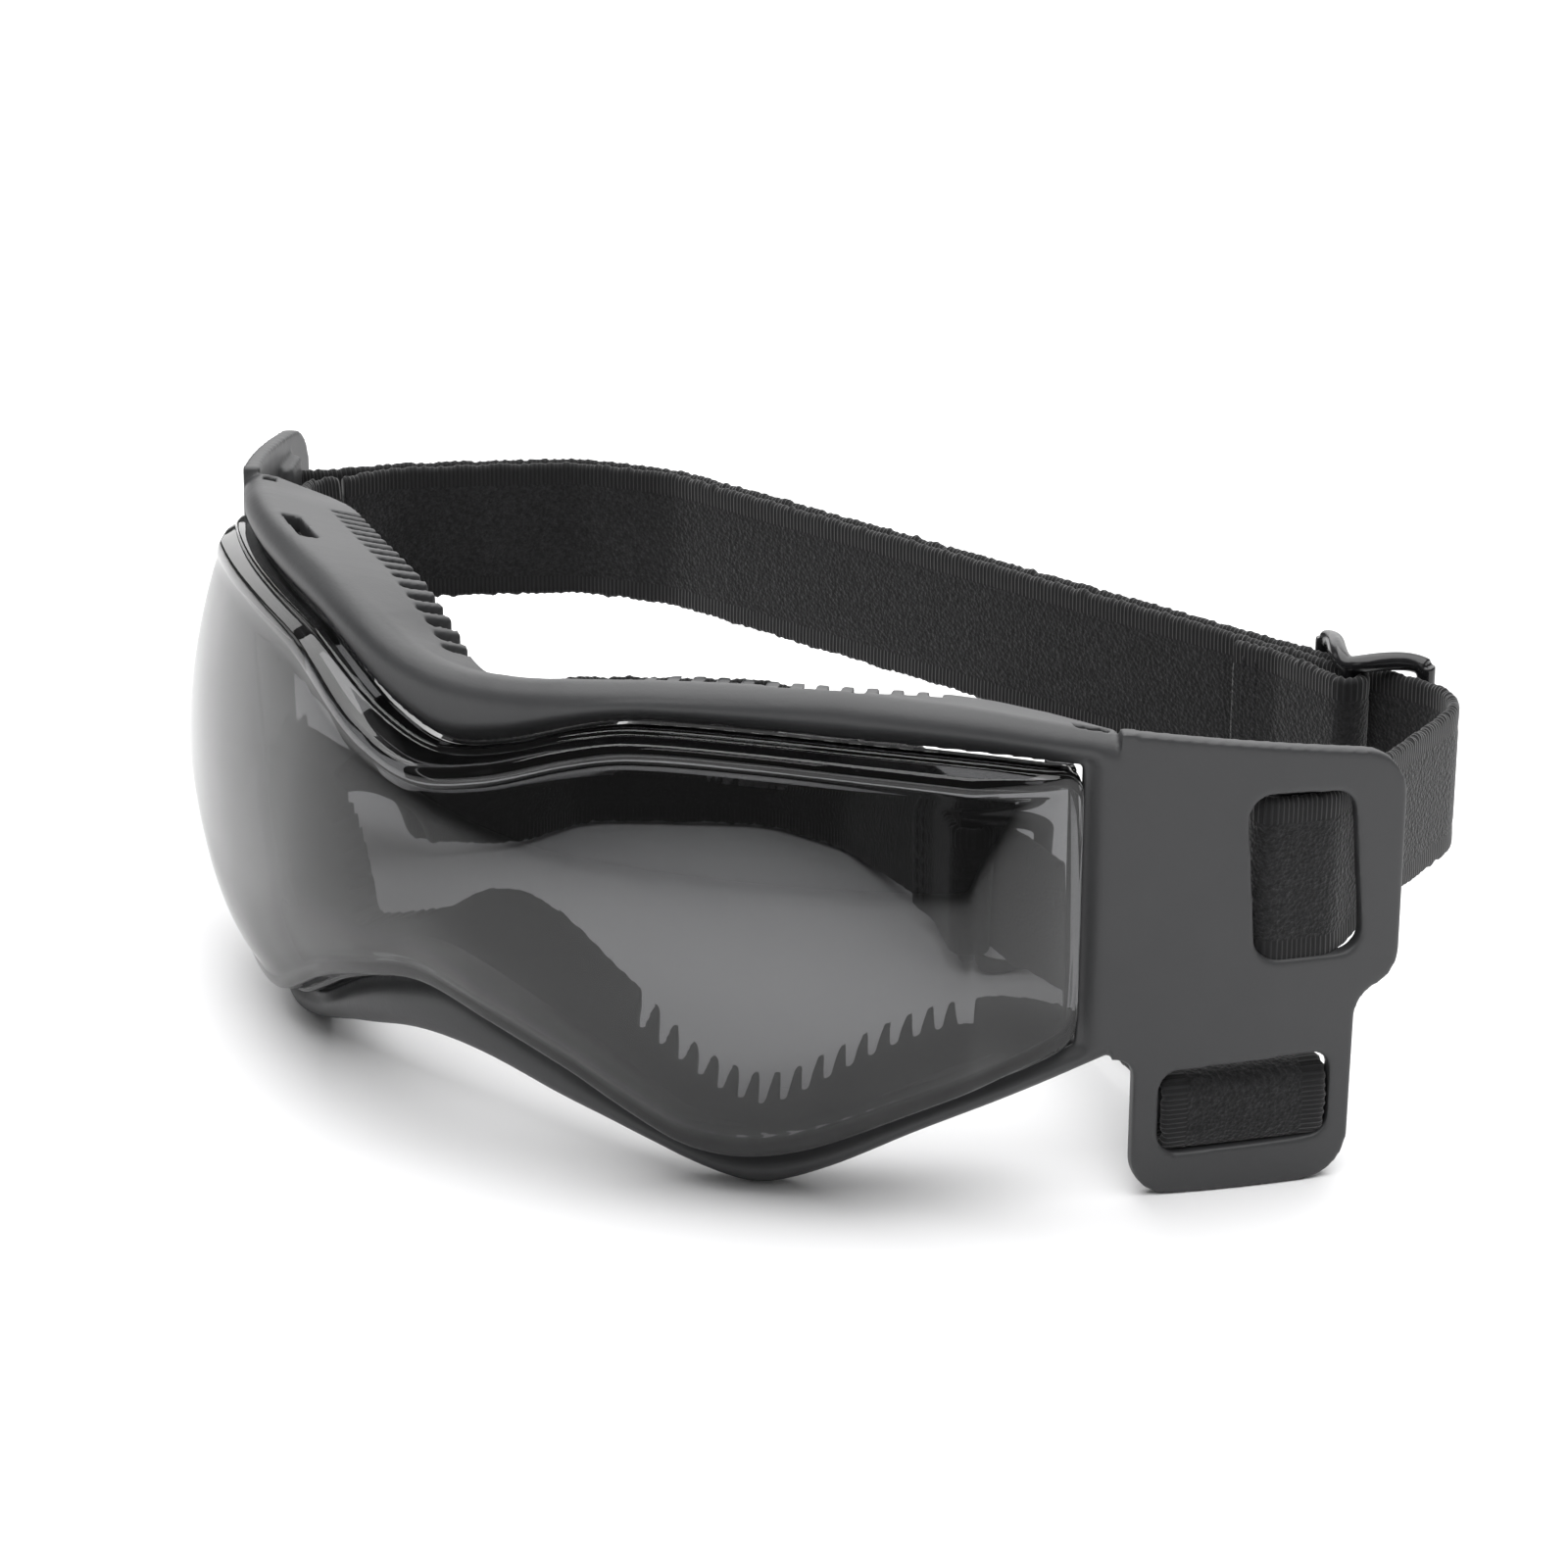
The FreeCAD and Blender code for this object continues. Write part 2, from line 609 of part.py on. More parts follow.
def head_strap_routes():
    """Outer route from the sewn end at the right wing to behind the left bar, and the inner."""
    right = head_wrap(1, 3.5)
    left = head_wrap(-1, 4.1)
    outer_middle = list(reversed(HEAD_ROUTE))
    # The sewn end lies beside the strap for 15 mm.
    gap_at_bar = straight_back(right[0], HEAD_ROUTE[-1], 15.0)
    outer = [gap_at_bar + (0,)] + right + outer_middle + list(reversed(left))
    inner = offset_route([left[3]] + HEAD_ROUTE[:3] + [(0.0, size("head_strap_back"), 0)], PITCH)
    inner_start = left[0]
    return outer, inner_start, inner


def make_head_strap():
    """Strap from the right wing through the slider and round the left bar."""
    outer, inner_start, inner = head_strap_routes()
    low, high = head_levels()
    # It ends where the inner layer leaves the left bar.
    end = straight_back(inner_start, inner[1], 6.0)
    route = outer + [end + (0,)]
    return ribbon(route, low, high, THICK)


def make_head_inner_run():
    """Inner layer from the left bar to the piece that is sewn round the slider."""
    outer, inner_start, inner = head_strap_routes()
    low, high = head_levels()
    start = straight_back(inner_start, inner[1], 6.05)
    end = (size("head_slider_place") - SLIDER_TAIL - 0.05, size("head_strap_back") - PITCH)
    route = [start + (0,)] + inner[1:4] + [end + (0,)]
    return ribbon(route, low, high, THICK)


# Length of the doubled, sewn webbing beside a slider's middle bar.
SLIDER_TAIL = 18.0


def slider_bar_depths():
    """Distances of a slider's outer and middle bars from the webbing that passes it."""
    half_rod = size("rod") / 2
    outer = THICK / 2 + size("rod_room") + half_rod
    middle = THICK / 2 + size("rod_room") + THICK + size("bar_room") + half_rod
    return outer, -middle


def make_slider_end():
    """Webbing folded round a slider's middle bar and sewn to itself; slider's own frame."""
    outer, middle = slider_bar_depths()
    turn = size("rod") / 2 + size("bar_room") + THICK / 2
    near, far = middle + turn, near_layer(middle)
    # The lower corner lies where the returning layer just clears the bar.
    low_corner = middle - turn - 0.6
    route = [(-SLIDER_TAIL, near, 0), (turn, near, turn - 0.02), (turn, low_corner, turn - 0.02),
             (-11.0, far, 8), (-SLIDER_TAIL, far, 0)]
    return ribbon(route, -HALF_WIDE, HALF_WIDE, THICK)


def near_layer(middle):
    """Distance of the sewn-down layer, one layer's pitch behind the first."""
    turn = size("rod") / 2 + size("bar_room") + THICK / 2
    return middle + turn - PITCH


# ---------------------------------------------------------------- chin strap

def twist_frames(side):
    """Where the two chin strap layers start flat behind the bar and end on edge."""
    route = CHIN_ROUTE if side < 0 else list(reversed(CHIN_ROUTE))
    place = size("chin_bar_place")
    start = Vector(*wing_place(side, place, 0, TWIST_DEPTH), size("chin_bar_height"))
    inwards = wing_frame(place).Rotation.multVec(Vector(0, 1, 0))
    inwards.x *= side
    heading = Vector(route[1][0] - route[0][0], route[1][1] - route[0][1], 0)
    heading.normalize()
    outwards = Vector(heading.y, -heading.x, 0) * side
    end = Vector(route[0][0], route[0][1], size("chin_strap_height")) - outwards * (PITCH / 2)
    return start, inwards, end, heading


TWIST_DEPTH = 10.0


def twist(side, layer, share):
    """Layer of the chin strap that turns from flat to on edge; layer is 1 outer, -1 inner."""
    start, inwards, end, heading = twist_frames(side)
    bend = start.distanceToPoint(end)
    sections = []
    steps = 6
    for i in range(steps + 1):
        part = share * i / steps
        blend0 = 2 * part**3 - 3 * part**2 + 1
        blend1 = part**3 - 2 * part**2 + part
        blend2 = 3 * part**2 - 2 * part**3
        blend3 = part**3 - part**2
        middle = start * blend0 + inwards * (bend * blend1) + end * blend2 + heading * (bend * blend3)
        ahead = inwards * (1 - blend2) + heading * blend2
        ahead.normalize()
        out = Vector(ahead.y, -ahead.x, 0) * side
        angle = math.pi / 2 * blend2
        face = Vector(0, 0, 1) * math.cos(angle) + out * math.sin(angle)
        wide = out * math.cos(angle) - Vector(0, 0, 1) * math.sin(angle)
        centre = middle + face * (layer * PITCH / 2)
        sections.append([
            centre + wide * HALF_WIDE + face * (THICK / 2), centre - wide * HALF_WIDE + face * (THICK / 2),
            centre - wide * HALF_WIDE - face * (THICK / 2), centre + wide * HALF_WIDE - face * (THICK / 2)])
    return loft(sections)


def chin_wrap(side):
    """Webbing round the chin strap's bar: two flat layers that meet the twist."""
    edge = size("chin_bar_wide") / 2 - size("bar_thick") / 2
    run = TWIST_DEPTH - size("bar_depth")
    # The layer's line from the twist just clears the bar's round edge.
    away = math.hypot(run, edge - PITCH / 2)
    lean = math.asin(WRAP / away) + math.atan2(edge - PITCH / 2, run)
    corner = PITCH / 2 + math.tan(lean) * (TWIST_DEPTH - BEFORE)
    route = [(TWIST_DEPTH, PITCH / 2, 0), (BEFORE, corner, WRAP - 0.01),
             (BEFORE, -corner, WRAP - 0.01), (TWIST_DEPTH, -PITCH / 2, 0)]
    loop = ribbon(route, -HALF_WIDE, HALF_WIDE, THICK)
    # From (depth, height, along) to along, depth, height.
    turn = FreeCAD.Matrix(0, 0, 1, 0, 1, 0, 0, 0, 0, 1, 0, size("chin_bar_height"), 0, 0, 0, 1)
    loop = loop.transformGeometry(turn)
    loop = loop.transformed(wing_frame(size("chin_bar_place")).toMatrix())
    if side < 0:
        loop = loop.mirror(Vector(0, 0, 0), Vector(1, 0, 0))
    return loop


def chin_levels():
    return size("chin_strap_height") - HALF_WIDE, size("chin_strap_height") + HALF_WIDE


def make_chin_strap():
    """Strap from the right wing through the slider and round the left bar."""
    low, high = chin_levels()
    run = ribbon(CHIN_ROUTE, low, high, THICK)
    return join([chin_wrap(1), twist(1, 1, 1.0), twist(1, -1, 0.6), run, twist(-1, 1, 1.0),
                 chin_wrap(-1)])


def chin_run():
    """Start and heading of the chin strap's straight run, from its right end to the left."""
    start = Vector(CHIN_ROUTE[-1][0], CHIN_ROUTE[-1][1], 0)
    heading = Vector(CHIN_ROUTE[-2][0], CHIN_ROUTE[-2][1], 0) - start
    heading.normalize()
    return start, heading


def make_chin_inner_run():
    """Inner layer from the left bar to the piece that is sewn round the chin slider."""
    low, high = chin_levels()
    start, heading = chin_run()
    inner = offset_route(CHIN_ROUTE, PITCH)
    last = start + heading * (size("chin_slider_place") + SLIDER_TAIL + 0.05)
    side = Vector(heading.y, -heading.x, 0) * -PITCH
    route = inner[:-1] + [(last.x + side.x, last.y + side.y, 0)]
    return join([ribbon(route, low, high, THICK), twist(-1, -1, 1.0)])


# ---------------------------------------------------------------- sewing

def stitch_rows(rows, long):
    """Stitches across the webbing, standing in rows along X, lying in the plane Y = 0."""
    count = 7
    spacing = (size("strap_wide") - 3.0) / count
    stitches = []
    for row in range(rows):
        for i in range(count):
            low = -HALF_WIDE + 1.5 + (i + 0.5) * spacing - long / 2
            stitches.append(Part.makeCylinder(size("thread") / 2, long, Vector(row * 2.0, 0, low)))
    return Part.makeCompound(stitches)


def placed(shape, base, turn):
    """Group that holds a shape at a place of its own."""
    shape.Placement = FreeCAD.Placement(base, turn)
    return Part.makeCompound([shape])


# ---------------------------------------------------------------- document objects

def add_feature(label, shape):
    """Sub-part whose shape the functions above make from the sheet."""
    item = doc.addObject("Part::Feature", label)
    item.Label = label
    item.Shape = shape
    return item


def closed_outline(sketch, corners):
    """Polygon of (x, y) expressions, every corner held by two bound distances."""
    count = len(corners)
    for i in range(count):
        start = Vector(i, 0, 0)
        sketch.addGeometry(Part.LineSegment(start, Vector(i + 1, 1, 0)), False)
    import Sketcher
    for i in range(count):
        sketch.addConstraint(Sketcher.Constraint("Coincident", i, 2, (i + 1) % count, 1))
    for i, (x, y) in enumerate(corners):
        for kind, expression in (("DistanceX", x), ("DistanceY", y)):
            index = sketch.addConstraint(Sketcher.Constraint(kind, -1, 1, i, 1, 1.0 + i))
            sketch.setExpression("Constraints[%d]" % index, expression)


def origin_plane(body, role):
    return [item for item in body.Origin.OriginFeatures if item.Role == role][0]


def make_slider(label):
    """Three-bar slider: two waved rails joined by three upright bars."""
    import Sketcher
    body = doc.addObject("PartDesign::Body", label)
    body.Label = label
    plane = origin_plane(body, "XY_Plane")

    outer = "(sizes.strap_thick / 2 + sizes.rod_room + sizes.rod / 2)"
    middle = "-(sizes.strap_thick * 1.5 + sizes.rod_room + sizes.bar_room + sizes.rod / 2)"
    half = "sizes.rod / 2"
    step = "sizes.rod_spacing"

    rail_sketch = body.newObject("Sketcher::SketchObject", label + "_rail_outline")
    rail_sketch.AttachmentSupport = (plane, "")
    rail_sketch.MapMode = "FlatFace"
    rail_sketch.setExpression("AttachmentOffset.Base.z", "sizes.strap_wide / 2 + sizes.rail_room")
    closed_outline(rail_sketch, [
        ("-%s - %s" % (step, half), "%s - %s" % (outer, half)),
        ("-%s" % step, "%s - %s" % (outer, half)),
        ("0 * %s" % step, "%s - %s" % (middle, half)),
        (step, "%s - %s" % (outer, half)),
        ("%s + %s" % (step, half), "%s - %s" % (outer, half)),
        ("%s + %s" % (step, half), "%s + %s" % (outer, half)),
        ("%s - %s / 2" % (step, half), "%s + %s" % (outer, half)),
        ("0 * %s" % step, "%s + %s * 1.3" % (middle, half)),
        ("-%s + %s / 2" % (step, half), "%s + %s" % (outer, half)),
        ("-%s - %s" % (step, half), "%s + %s" % (outer, half))])
    rail = body.newObject("PartDesign::Pad", label + "_rail")
    rail.Profile = rail_sketch
    rail.setExpression("Length", "sizes.rod")

    bar_sketch = body.newObject("Sketcher::SketchObject", label + "_bar_circles")
    bar_sketch.AttachmentSupport = (plane, "")
    bar_sketch.MapMode = "FlatFace"
    places = (("-%s" % step, outer), ("0 * %s" % step, middle), (step, outer))
    for index, (x, y) in enumerate(places):
        circle = Part.Circle(Vector(10.0 * (index - 1), 1, 0), Vector(0, 0, 1), 1)
        bar_sketch.addGeometry(circle, False)
        held = bar_sketch.addConstraint(Sketcher.Constraint("Radius", index, 1.0))
        bar_sketch.setExpression("Constraints[%d]" % held, half)
        held = bar_sketch.addConstraint(Sketcher.Constraint("DistanceX", -1, 1, index, 3, 1.0))
        bar_sketch.setExpression("Constraints[%d]" % held, x)
        held = bar_sketch.addConstraint(Sketcher.Constraint("DistanceY", -1, 1, index, 3, 1.0))
        bar_sketch.setExpression("Constraints[%d]" % held, y)
    bars = body.newObject("PartDesign::Pad", label + "_bars")
    bars.Profile = bar_sketch
    bars.SideType = "Symmetric"
    bars.setExpression("Length", "sizes.strap_wide + 2 * (sizes.rail_room + sizes.rod / 2)")

    second = body.newObject("PartDesign::Mirrored", label + "_second_rail")
    second.Originals = [rail]
    second.MirrorPlane = (plane, "")
    body.Tip = second
    doc.recompute()
    return body


def slider_place(name):
    """Placement of a slider: X along the webbing, Y away from the wearer."""
    if name == "head":
        base = Vector(size("head_slider_place"), size("head_strap_back"), size("head_strap_height"))
        return FreeCAD.Placement(base, FreeCAD.Rotation())
    start, heading = chin_run()
    base = start + heading * size("chin_slider_place")
    base.z = size("chin_strap_height")
    angle = math.degrees(math.atan2(-heading.y, -heading.x))
    return FreeCAD.Placement(base, FreeCAD.Rotation(Vector(0, 0, 1), angle))


def make_parts():
    """Every sub-part, in place, with the footprint's middle at the origin."""
    outer, middle = slider_bar_depths()
    seam_face = near_layer(middle) - THICK / 2 - size("thread") / 2 - 0.02
    home = FreeCAD.Placement(Vector(0, -size("footprint_middle"), 0), FreeCAD.Rotation())
    items = {}
    items["frame"] = (add_feature("frame", make_frame()), home)
    items["lens"] = (add_feature("lens", make_lens()), home)
    items["head_strap"] = (add_feature("head_strap", make_head_strap()), home)
    items["chin_strap"] = (add_feature("chin_strap", make_chin_strap()), home)
    items["head_strap_inner_run"] = (
        add_feature("head_strap_inner_run", make_head_inner_run()), home)
    items["chin_strap_inner_run"] = (
        add_feature("chin_strap_inner_run", make_chin_inner_run()), home)
    for name in ("head", "chin"):
        place = home.multiply(slider_place(name))
        items[name + "_slider"] = (make_slider(name + "_slider"), place)
        label = name + "_strap_slider_end"
        items[label] = (add_feature(label, make_slider_end()), place)
        label = name + "_slider_seam"
        seam = placed(stitch_rows(2, 1.8), Vector(-16.4, seam_face, 0), FreeCAD.Rotation())
        items[label] = (add_feature(label, seam), place)
    items["head_wing_seam"] = (add_feature("head_wing_seam", make_head_wing_seam()), home)
    items["chin_wing_seam"] = (add_feature("chin_wing_seam", make_chin_wing_seam()), home)
    for item, place in items.values():
        item.Placement = place
    doc.recompute()
    return {name: item for name, (item, place) in items.items()}


def make_head_wing_seam():
    """Stitches through the head strap's doubled end at the right wing, on its inner face."""
    outer, inner_start, inner = head_strap_routes()
    start, end = outer[0], outer[1]
    heading = Vector(end[0] - start[0], end[1] - start[1], 0)
    heading.normalize()
    inwards = Vector(heading.y, -heading.x, 0)
    face = THICK / 2 + size("thread") / 2 + 0.02
    base = Vector(start[0], start[1], size("head_strap_height")) + heading * 2.0 + inwards * face
    turn = FreeCAD.Rotation(Vector(0, 0, 1), math.degrees(math.atan2(heading.y, heading.x)))
    return placed(stitch_rows(2, 1.8), base, turn)


def make_chin_wing_seam():
    """Stitches through the chin strap's doubled end behind the right bar, on its upper face."""
    start, inwards, end, heading = twist_frames(1)
    along = wing_frame(size("chin_bar_place")).Rotation.multVec(Vector(1, 0, 0))
    lift = PITCH / 2 + THICK / 2 + size("thread") / 2
    # The rows lie flat: X runs inwards, the stitches run along the wing.
    turn = FreeCAD.Rotation(inwards, Vector(0, 0, 1), along, "XYZ")
    return placed(stitch_rows(1, 1.8), start + Vector(0, 0, lift + 0.6) - inwards * 0.8, turn)


def check_and_write(items):
    """Stop on a failed object or a bad solid; otherwise write one file for each sub-part."""
    for thing in doc.Objects:
        bad = [state for state in thing.State if state in ("Invalid", "Error")]
        if bad:
            raise RuntimeError("%s is %s" % (thing.Label, bad))
    for name, item in items.items():
        shape = item.Shape
        if shape.isNull() or not shape.isValid():
            raise RuntimeError("%s has a bad shape" % name)
        if item.Label != name:
            raise RuntimeError("%s has the label %s" % (name, item.Label))
    os.makedirs("parts", exist_ok=True)
    for name, item in items.items():
        item.Shape.exportStep("parts/%s.step" % name)
        print("%-24s %3d solids %10.1f mm3" % (name, len(item.Shape.Solids), item.Shape.Volume))


check_and_write(make_parts())
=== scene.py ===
import math

import bmesh
import bpy
import numpy as np
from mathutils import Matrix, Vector


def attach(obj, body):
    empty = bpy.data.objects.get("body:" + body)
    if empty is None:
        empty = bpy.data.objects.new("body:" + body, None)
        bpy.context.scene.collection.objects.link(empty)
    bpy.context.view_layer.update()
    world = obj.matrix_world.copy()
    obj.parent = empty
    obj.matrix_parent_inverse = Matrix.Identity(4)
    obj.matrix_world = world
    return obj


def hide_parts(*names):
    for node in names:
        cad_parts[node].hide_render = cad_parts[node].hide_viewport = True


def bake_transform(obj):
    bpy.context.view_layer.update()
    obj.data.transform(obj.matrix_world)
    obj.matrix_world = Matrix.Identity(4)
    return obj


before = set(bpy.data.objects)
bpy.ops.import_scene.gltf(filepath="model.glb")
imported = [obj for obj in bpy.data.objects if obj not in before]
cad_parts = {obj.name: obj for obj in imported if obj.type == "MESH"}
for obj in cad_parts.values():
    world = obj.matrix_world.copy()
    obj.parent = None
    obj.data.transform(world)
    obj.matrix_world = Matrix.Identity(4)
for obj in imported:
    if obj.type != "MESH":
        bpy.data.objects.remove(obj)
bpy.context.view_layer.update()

# The pieces are worked out in the CAD source's own frame, in millimetres: Y is counted
# from the bridge, u runs along the frame's plan curve, w is the depth behind its face.
MM = 0.001
FOOTPRINT_MIDDLE = 50.9
BRIDGE_RADIUS, BRIDGE_HALF, SIDE_RADIUS = 62.0, 22.0, 140.0
BRIDGE_TURN = BRIDGE_HALF / BRIDGE_RADIUS
SIDE_X = (BRIDGE_RADIUS - SIDE_RADIUS) * math.sin(BRIDGE_TURN)
SIDE_Y = BRIDGE_RADIUS + (SIDE_RADIUS - BRIDGE_RADIUS) * math.cos(BRIDGE_TURN)

# Lens: outlines as (place, height); its ends, the reach of its front before the face, its wall,
# and the place from which the front falls away to the ends.
LENS_TOP = [(0, 53.5), (9.5, 55.4), (20.5, 59.2), (28.5, 60.9), (43, 61.2), (59, 60.4), (72, 59.2),
            (84, 57.5)]
LENS_BOTTOM = [(0, 21.0), (10.5, 18.4), (20, 14.5), (28, 10.0), (35, 6.4), (41, 5.3), (47, 5.9),
               (53, 7.8), (64, 12.8), (74, 17.2), (84, 21.4)]
LENS_END, LENS_REACH, LENS_WALL, BEVEL_START = 83.6, 8.9, 2.0, 70.0
LENS_CORNER, BEVEL_FALL, BEVEL_SOFT, LEAST_REACH = 2.6, 0.86, 0.7, 1.0
# The front leans back above BULGE_HEIGHT and tucks in over the lowest TUCK_HEIGHT of the lens.
BULGE_HEIGHT, BULGE_RADIUS = 26.0, 92.0
TUCK_HEIGHT, TUCK_RADIUS = 16.0, 19.0
# Rim: its back edge behind the face, its step before the face and that step's inset.
RIM_BACK, RIM_FRONT, RIM_INSET = 2.2, 0.9, 0.42
# Wall from its foot to the round shoulder, and the share of the insets kept at the ends.
WALL_INSET, WALL_FOOT, WALL_LEAN, SHOULDER = 0.62, 1.3, 0.5, 2.1
FRONT_INSET, END_SHARE = 2.8, 0.4
# The ends sink behind the face over the last END_RUN of the lens.
END_SINK, END_START, END_RUN = 1.3, 76.0, 7.0
TONGUES = ((45.0, 56.0), (79.0, 82.8))

# Straps, the wings' bars and the sliders. Routes are (x, y, corner radius) in plan.
STRAP_WIDE, STRAP_THICK, STRAP_PITCH = 20.0, 1.5, 1.7
BAR_THICK, BAR_DEPTH, BAR_ROOM = 2.4, 3.1, 0.1
HEAD_BAR_PLACE = 112.1
CHIN_BAR_PLACE, CHIN_BAR_WIDE, CHIN_BAR_HEIGHT = 105.4, 5.5, 11.6
HEAD_HEIGHT, HEAD_BACK, HEAD_SLIDER = 41.9, 102.5, 69.0
CHIN_HEIGHT, CHIN_SLIDER = 12.9, 47.0
ROD, ROD_SPACING, ROD_ROOM, RAIL_ROOM = 2.5, 8.0, 0.2, 0.4
SLIDER_TAIL, TWIST_DEPTH = 18.0, 10.0
ROD_MIDDLE = -(STRAP_THICK * 1.5 + ROD_ROOM + BAR_ROOM + ROD / 2)
ROD_OUTER = STRAP_THICK / 2 + ROD_ROOM + ROD / 2
ROD_TURN = ROD / 2 + BAR_ROOM + STRAP_THICK / 2
WRAP = BAR_THICK / 2 + BAR_ROOM + STRAP_THICK / 2
BEFORE = BAR_DEPTH - WRAP
HEAD_ROUTE = [(-83.5, 77.5, 18), (-64.5, 97.0, 18), (-50.0, 102.5, 18), (85.5, 102.5, 8)]
CHIN_ROUTE = [(-67.5, 66.5, 0), (-61.5, 78.0, 16), (-60.5, 92.0, 12), (-38.0, 109.5, 14),
              (-22.0, 109.5, 16), (62.0, 66.0, 0)]
# Slack loop round the head strap's bar: (along the wing, depth, radius), and where it ends over
# the bar on each side, 1 where x is positive (the wearer's left).
HEAD_LOOP = [(0.9, 5.15, 3.0), (-3.5, 5.6, 3.0), (-6.6, 4.2, 1.5), (-4.9, 1.2, 1.5)]
LOOP_OVER, LOOP_ENDS = 1.2, {1: 3.5, -1: 4.1}
# Webbing crowds in a wing's window: it drops and widens there, fading over BAR_FADE.
BAR_FADE, HEAD_DROP, HEAD_SPREAD, CHIN_SPREAD = 12.0, 0.75, 2.2, 1.4

# Soft hollow round the lens, and the drop of the shelf by place: at its edge and behind it.
GROOVE, GROOVE_START, GROOVE_WIDE = 1.5, 0.5, 1.5
SAG_PLACES = [0, 8, 12, 15, 20, 26, 33, 41, 53, 64, 74, 80, 88, 94]
SAG_EDGE = [0, 0.3, 0.7, 1.04, 1.4, 1.6, 1.44, 0.97, 0.07, 0, 0, 0, 0, 0]
SAG_BEHIND = [0, 0.5, 1.3, 1.9, 3.0, 4.1, 4.5, 4.4, 2.9, 0.6, -0.8, -1.0, -0.6, 0]
UP = np.array([0.0, 0.0, 1.0])


# ---------------------------------------------------------------- plan curve

def turn_at(u):
    """Angle between the plan curve and the X axis."""
    place = np.abs(u)
    angle = np.where(place <= BRIDGE_HALF, place / BRIDGE_RADIUS,
                     BRIDGE_TURN + (place - BRIDGE_HALF) / SIDE_RADIUS)
    return np.copysign(angle, u)


def on_frame(u, w, z):
    """Points at places u, depths w and heights z, as an array of rows."""
    u, w, z = np.broadcast_arrays(*(np.asarray(value, float) for value in (u, w, z)))
    angle = turn_at(u)
    bridge = np.abs(u) <= BRIDGE_HALF
    radius = np.where(bridge, BRIDGE_RADIUS, SIDE_RADIUS) - w
    x = np.where(bridge, 0.0, np.copysign(1.0, u) * SIDE_X) + radius * np.sin(angle)
    y = np.where(bridge, BRIDGE_RADIUS, SIDE_Y) - radius * np.cos(angle)
    return np.stack([x, y, z], axis=-1)


def place_of(points):
    """Places u and depths w of points near the frame."""
    x, y = np.abs(points[:, 0]), points[:, 1]
    turn = np.arctan2(x, BRIDGE_RADIUS - y)
    far_turn = np.arctan2(x - SIDE_X, SIDE_Y - y)
    bridge = turn <= BRIDGE_TURN
    u = np.where(bridge, turn * BRIDGE_RADIUS, BRIDGE_HALF + (far_turn - BRIDGE_TURN) * SIDE_RADIUS)
    w = np.where(bridge, BRIDGE_RADIUS - np.hypot(x, BRIDGE_RADIUS - y),
                 SIDE_RADIUS - np.hypot(x - SIDE_X, SIDE_Y - y))
    return np.copysign(u, points[:, 0]), w


def height(outline, u):
    """Smooth height of an outline at places u: a cubic between each two points."""
    knots = [(-outline[1][0], outline[1][1])] + list(outline)
    knots.append((2 * knots[-1][0] - knots[-2][0], 2 * knots[-1][1] - knots[-2][1]))
    knots = np.array(knots, float)
    place = np.abs(np.asarray(u, float))
    i = np.clip(np.searchsorted(knots[:, 0], place, side="left") - 1, 1, len(knots) - 3)
    u0, u1, u2, u3 = (knots[i + k, 0] for k in (-1, 0, 1, 2))
    z0, z1, z2, z3 = (knots[i + k, 1] for k in (-1, 0, 1, 2))
    span = u2 - u1
    t = (place - u1) / span
    slope1 = (z2 - z0) / (u2 - u0) * span
    slope2 = (z3 - z1) / (u3 - u1) * span
    return ((2 * t**3 - 3 * t**2 + 1) * z1 + (t**3 - 2 * t**2 + t) * slope1
            + (3 * t**2 - 2 * t**3) * z2 + (t**3 - t**2) * slope2)


# ---------------------------------------------------------------- mesh helpers

def add_mesh(name, points, faces, uvs=None):
    """Smooth mesh object from points in millimetres and lists of corners."""
    rows = np.asarray(points, float) - (0, FOOTPRINT_MIDDLE, 0)
    mesh = bpy.data.meshes.new(name)
    mesh.from_pydata((rows * MM).tolist(), [], [tuple(int(i) for i in face) for face in faces])
    mesh.update()
    if uvs is not None:
        layer = mesh.uv_layers.new(name="UVMap")
        corners = np.empty(len(mesh.loops), dtype=np.int64)
        mesh.loops.foreach_get("vertex_index", corners)
        layer.data.foreach_set("uv", np.asarray(uvs, float)[corners].ravel())
    mesh.polygons.foreach_set("use_smooth", [True] * len(mesh.polygons))
    piece = bpy.data.objects.new(name, mesh)
    bpy.context.scene.collection.objects.link(piece)
    return piece


def fix_normals(piece):
    """Faces outwards, so that the shell reads as a solid."""
    work = bmesh.new()
    work.from_mesh(piece.data)
    bmesh.ops.recalc_face_normals(work, faces=work.faces)
    work.to_mesh(piece.data)
    work.free()


def apply_modifiers(piece):
    """The piece's mesh with its modifiers worked in."""
    bpy.context.view_layer.update()
    seen = piece.evaluated_get(bpy.context.evaluated_depsgraph_get())
    mesh = bpy.data.meshes.new_from_object(seen)
    piece.modifiers.clear()
    piece.data = mesh
    mesh.polygons.foreach_set("use_smooth", [True] * len(mesh.polygons))


def remeshed(piece, voxel_mm, rounds):
    """One skin over a piece, its edges rounded by smoothing."""
    skin = piece.modifiers.new("skin", "REMESH")
    skin.mode = "VOXEL"
    skin.voxel_size = voxel_mm * MM
    smooth = piece.modifiers.new("round", "SMOOTH")
    smooth.factor = 0.5
    smooth.iterations = rounds
    apply_modifiers(piece)


def headings(points):
    """Unit direction of a line at each of its points."""
    heading = np.gradient(np.asarray(points, float), axis=0)
    return heading / np.linalg.norm(heading, axis=1)[:, None]


def grid_faces(rows, columns, first=0, flip=False):
    """Quads of a grid of points, row by row."""
    faces = []
    for r in range(rows - 1):
        for c in range(columns - 1):
            a = first + r * columns + c
            quad = (a, a + 1, a + columns + 1, a + columns)
            faces.append(quad[::-1] if flip else quad)
    return faces


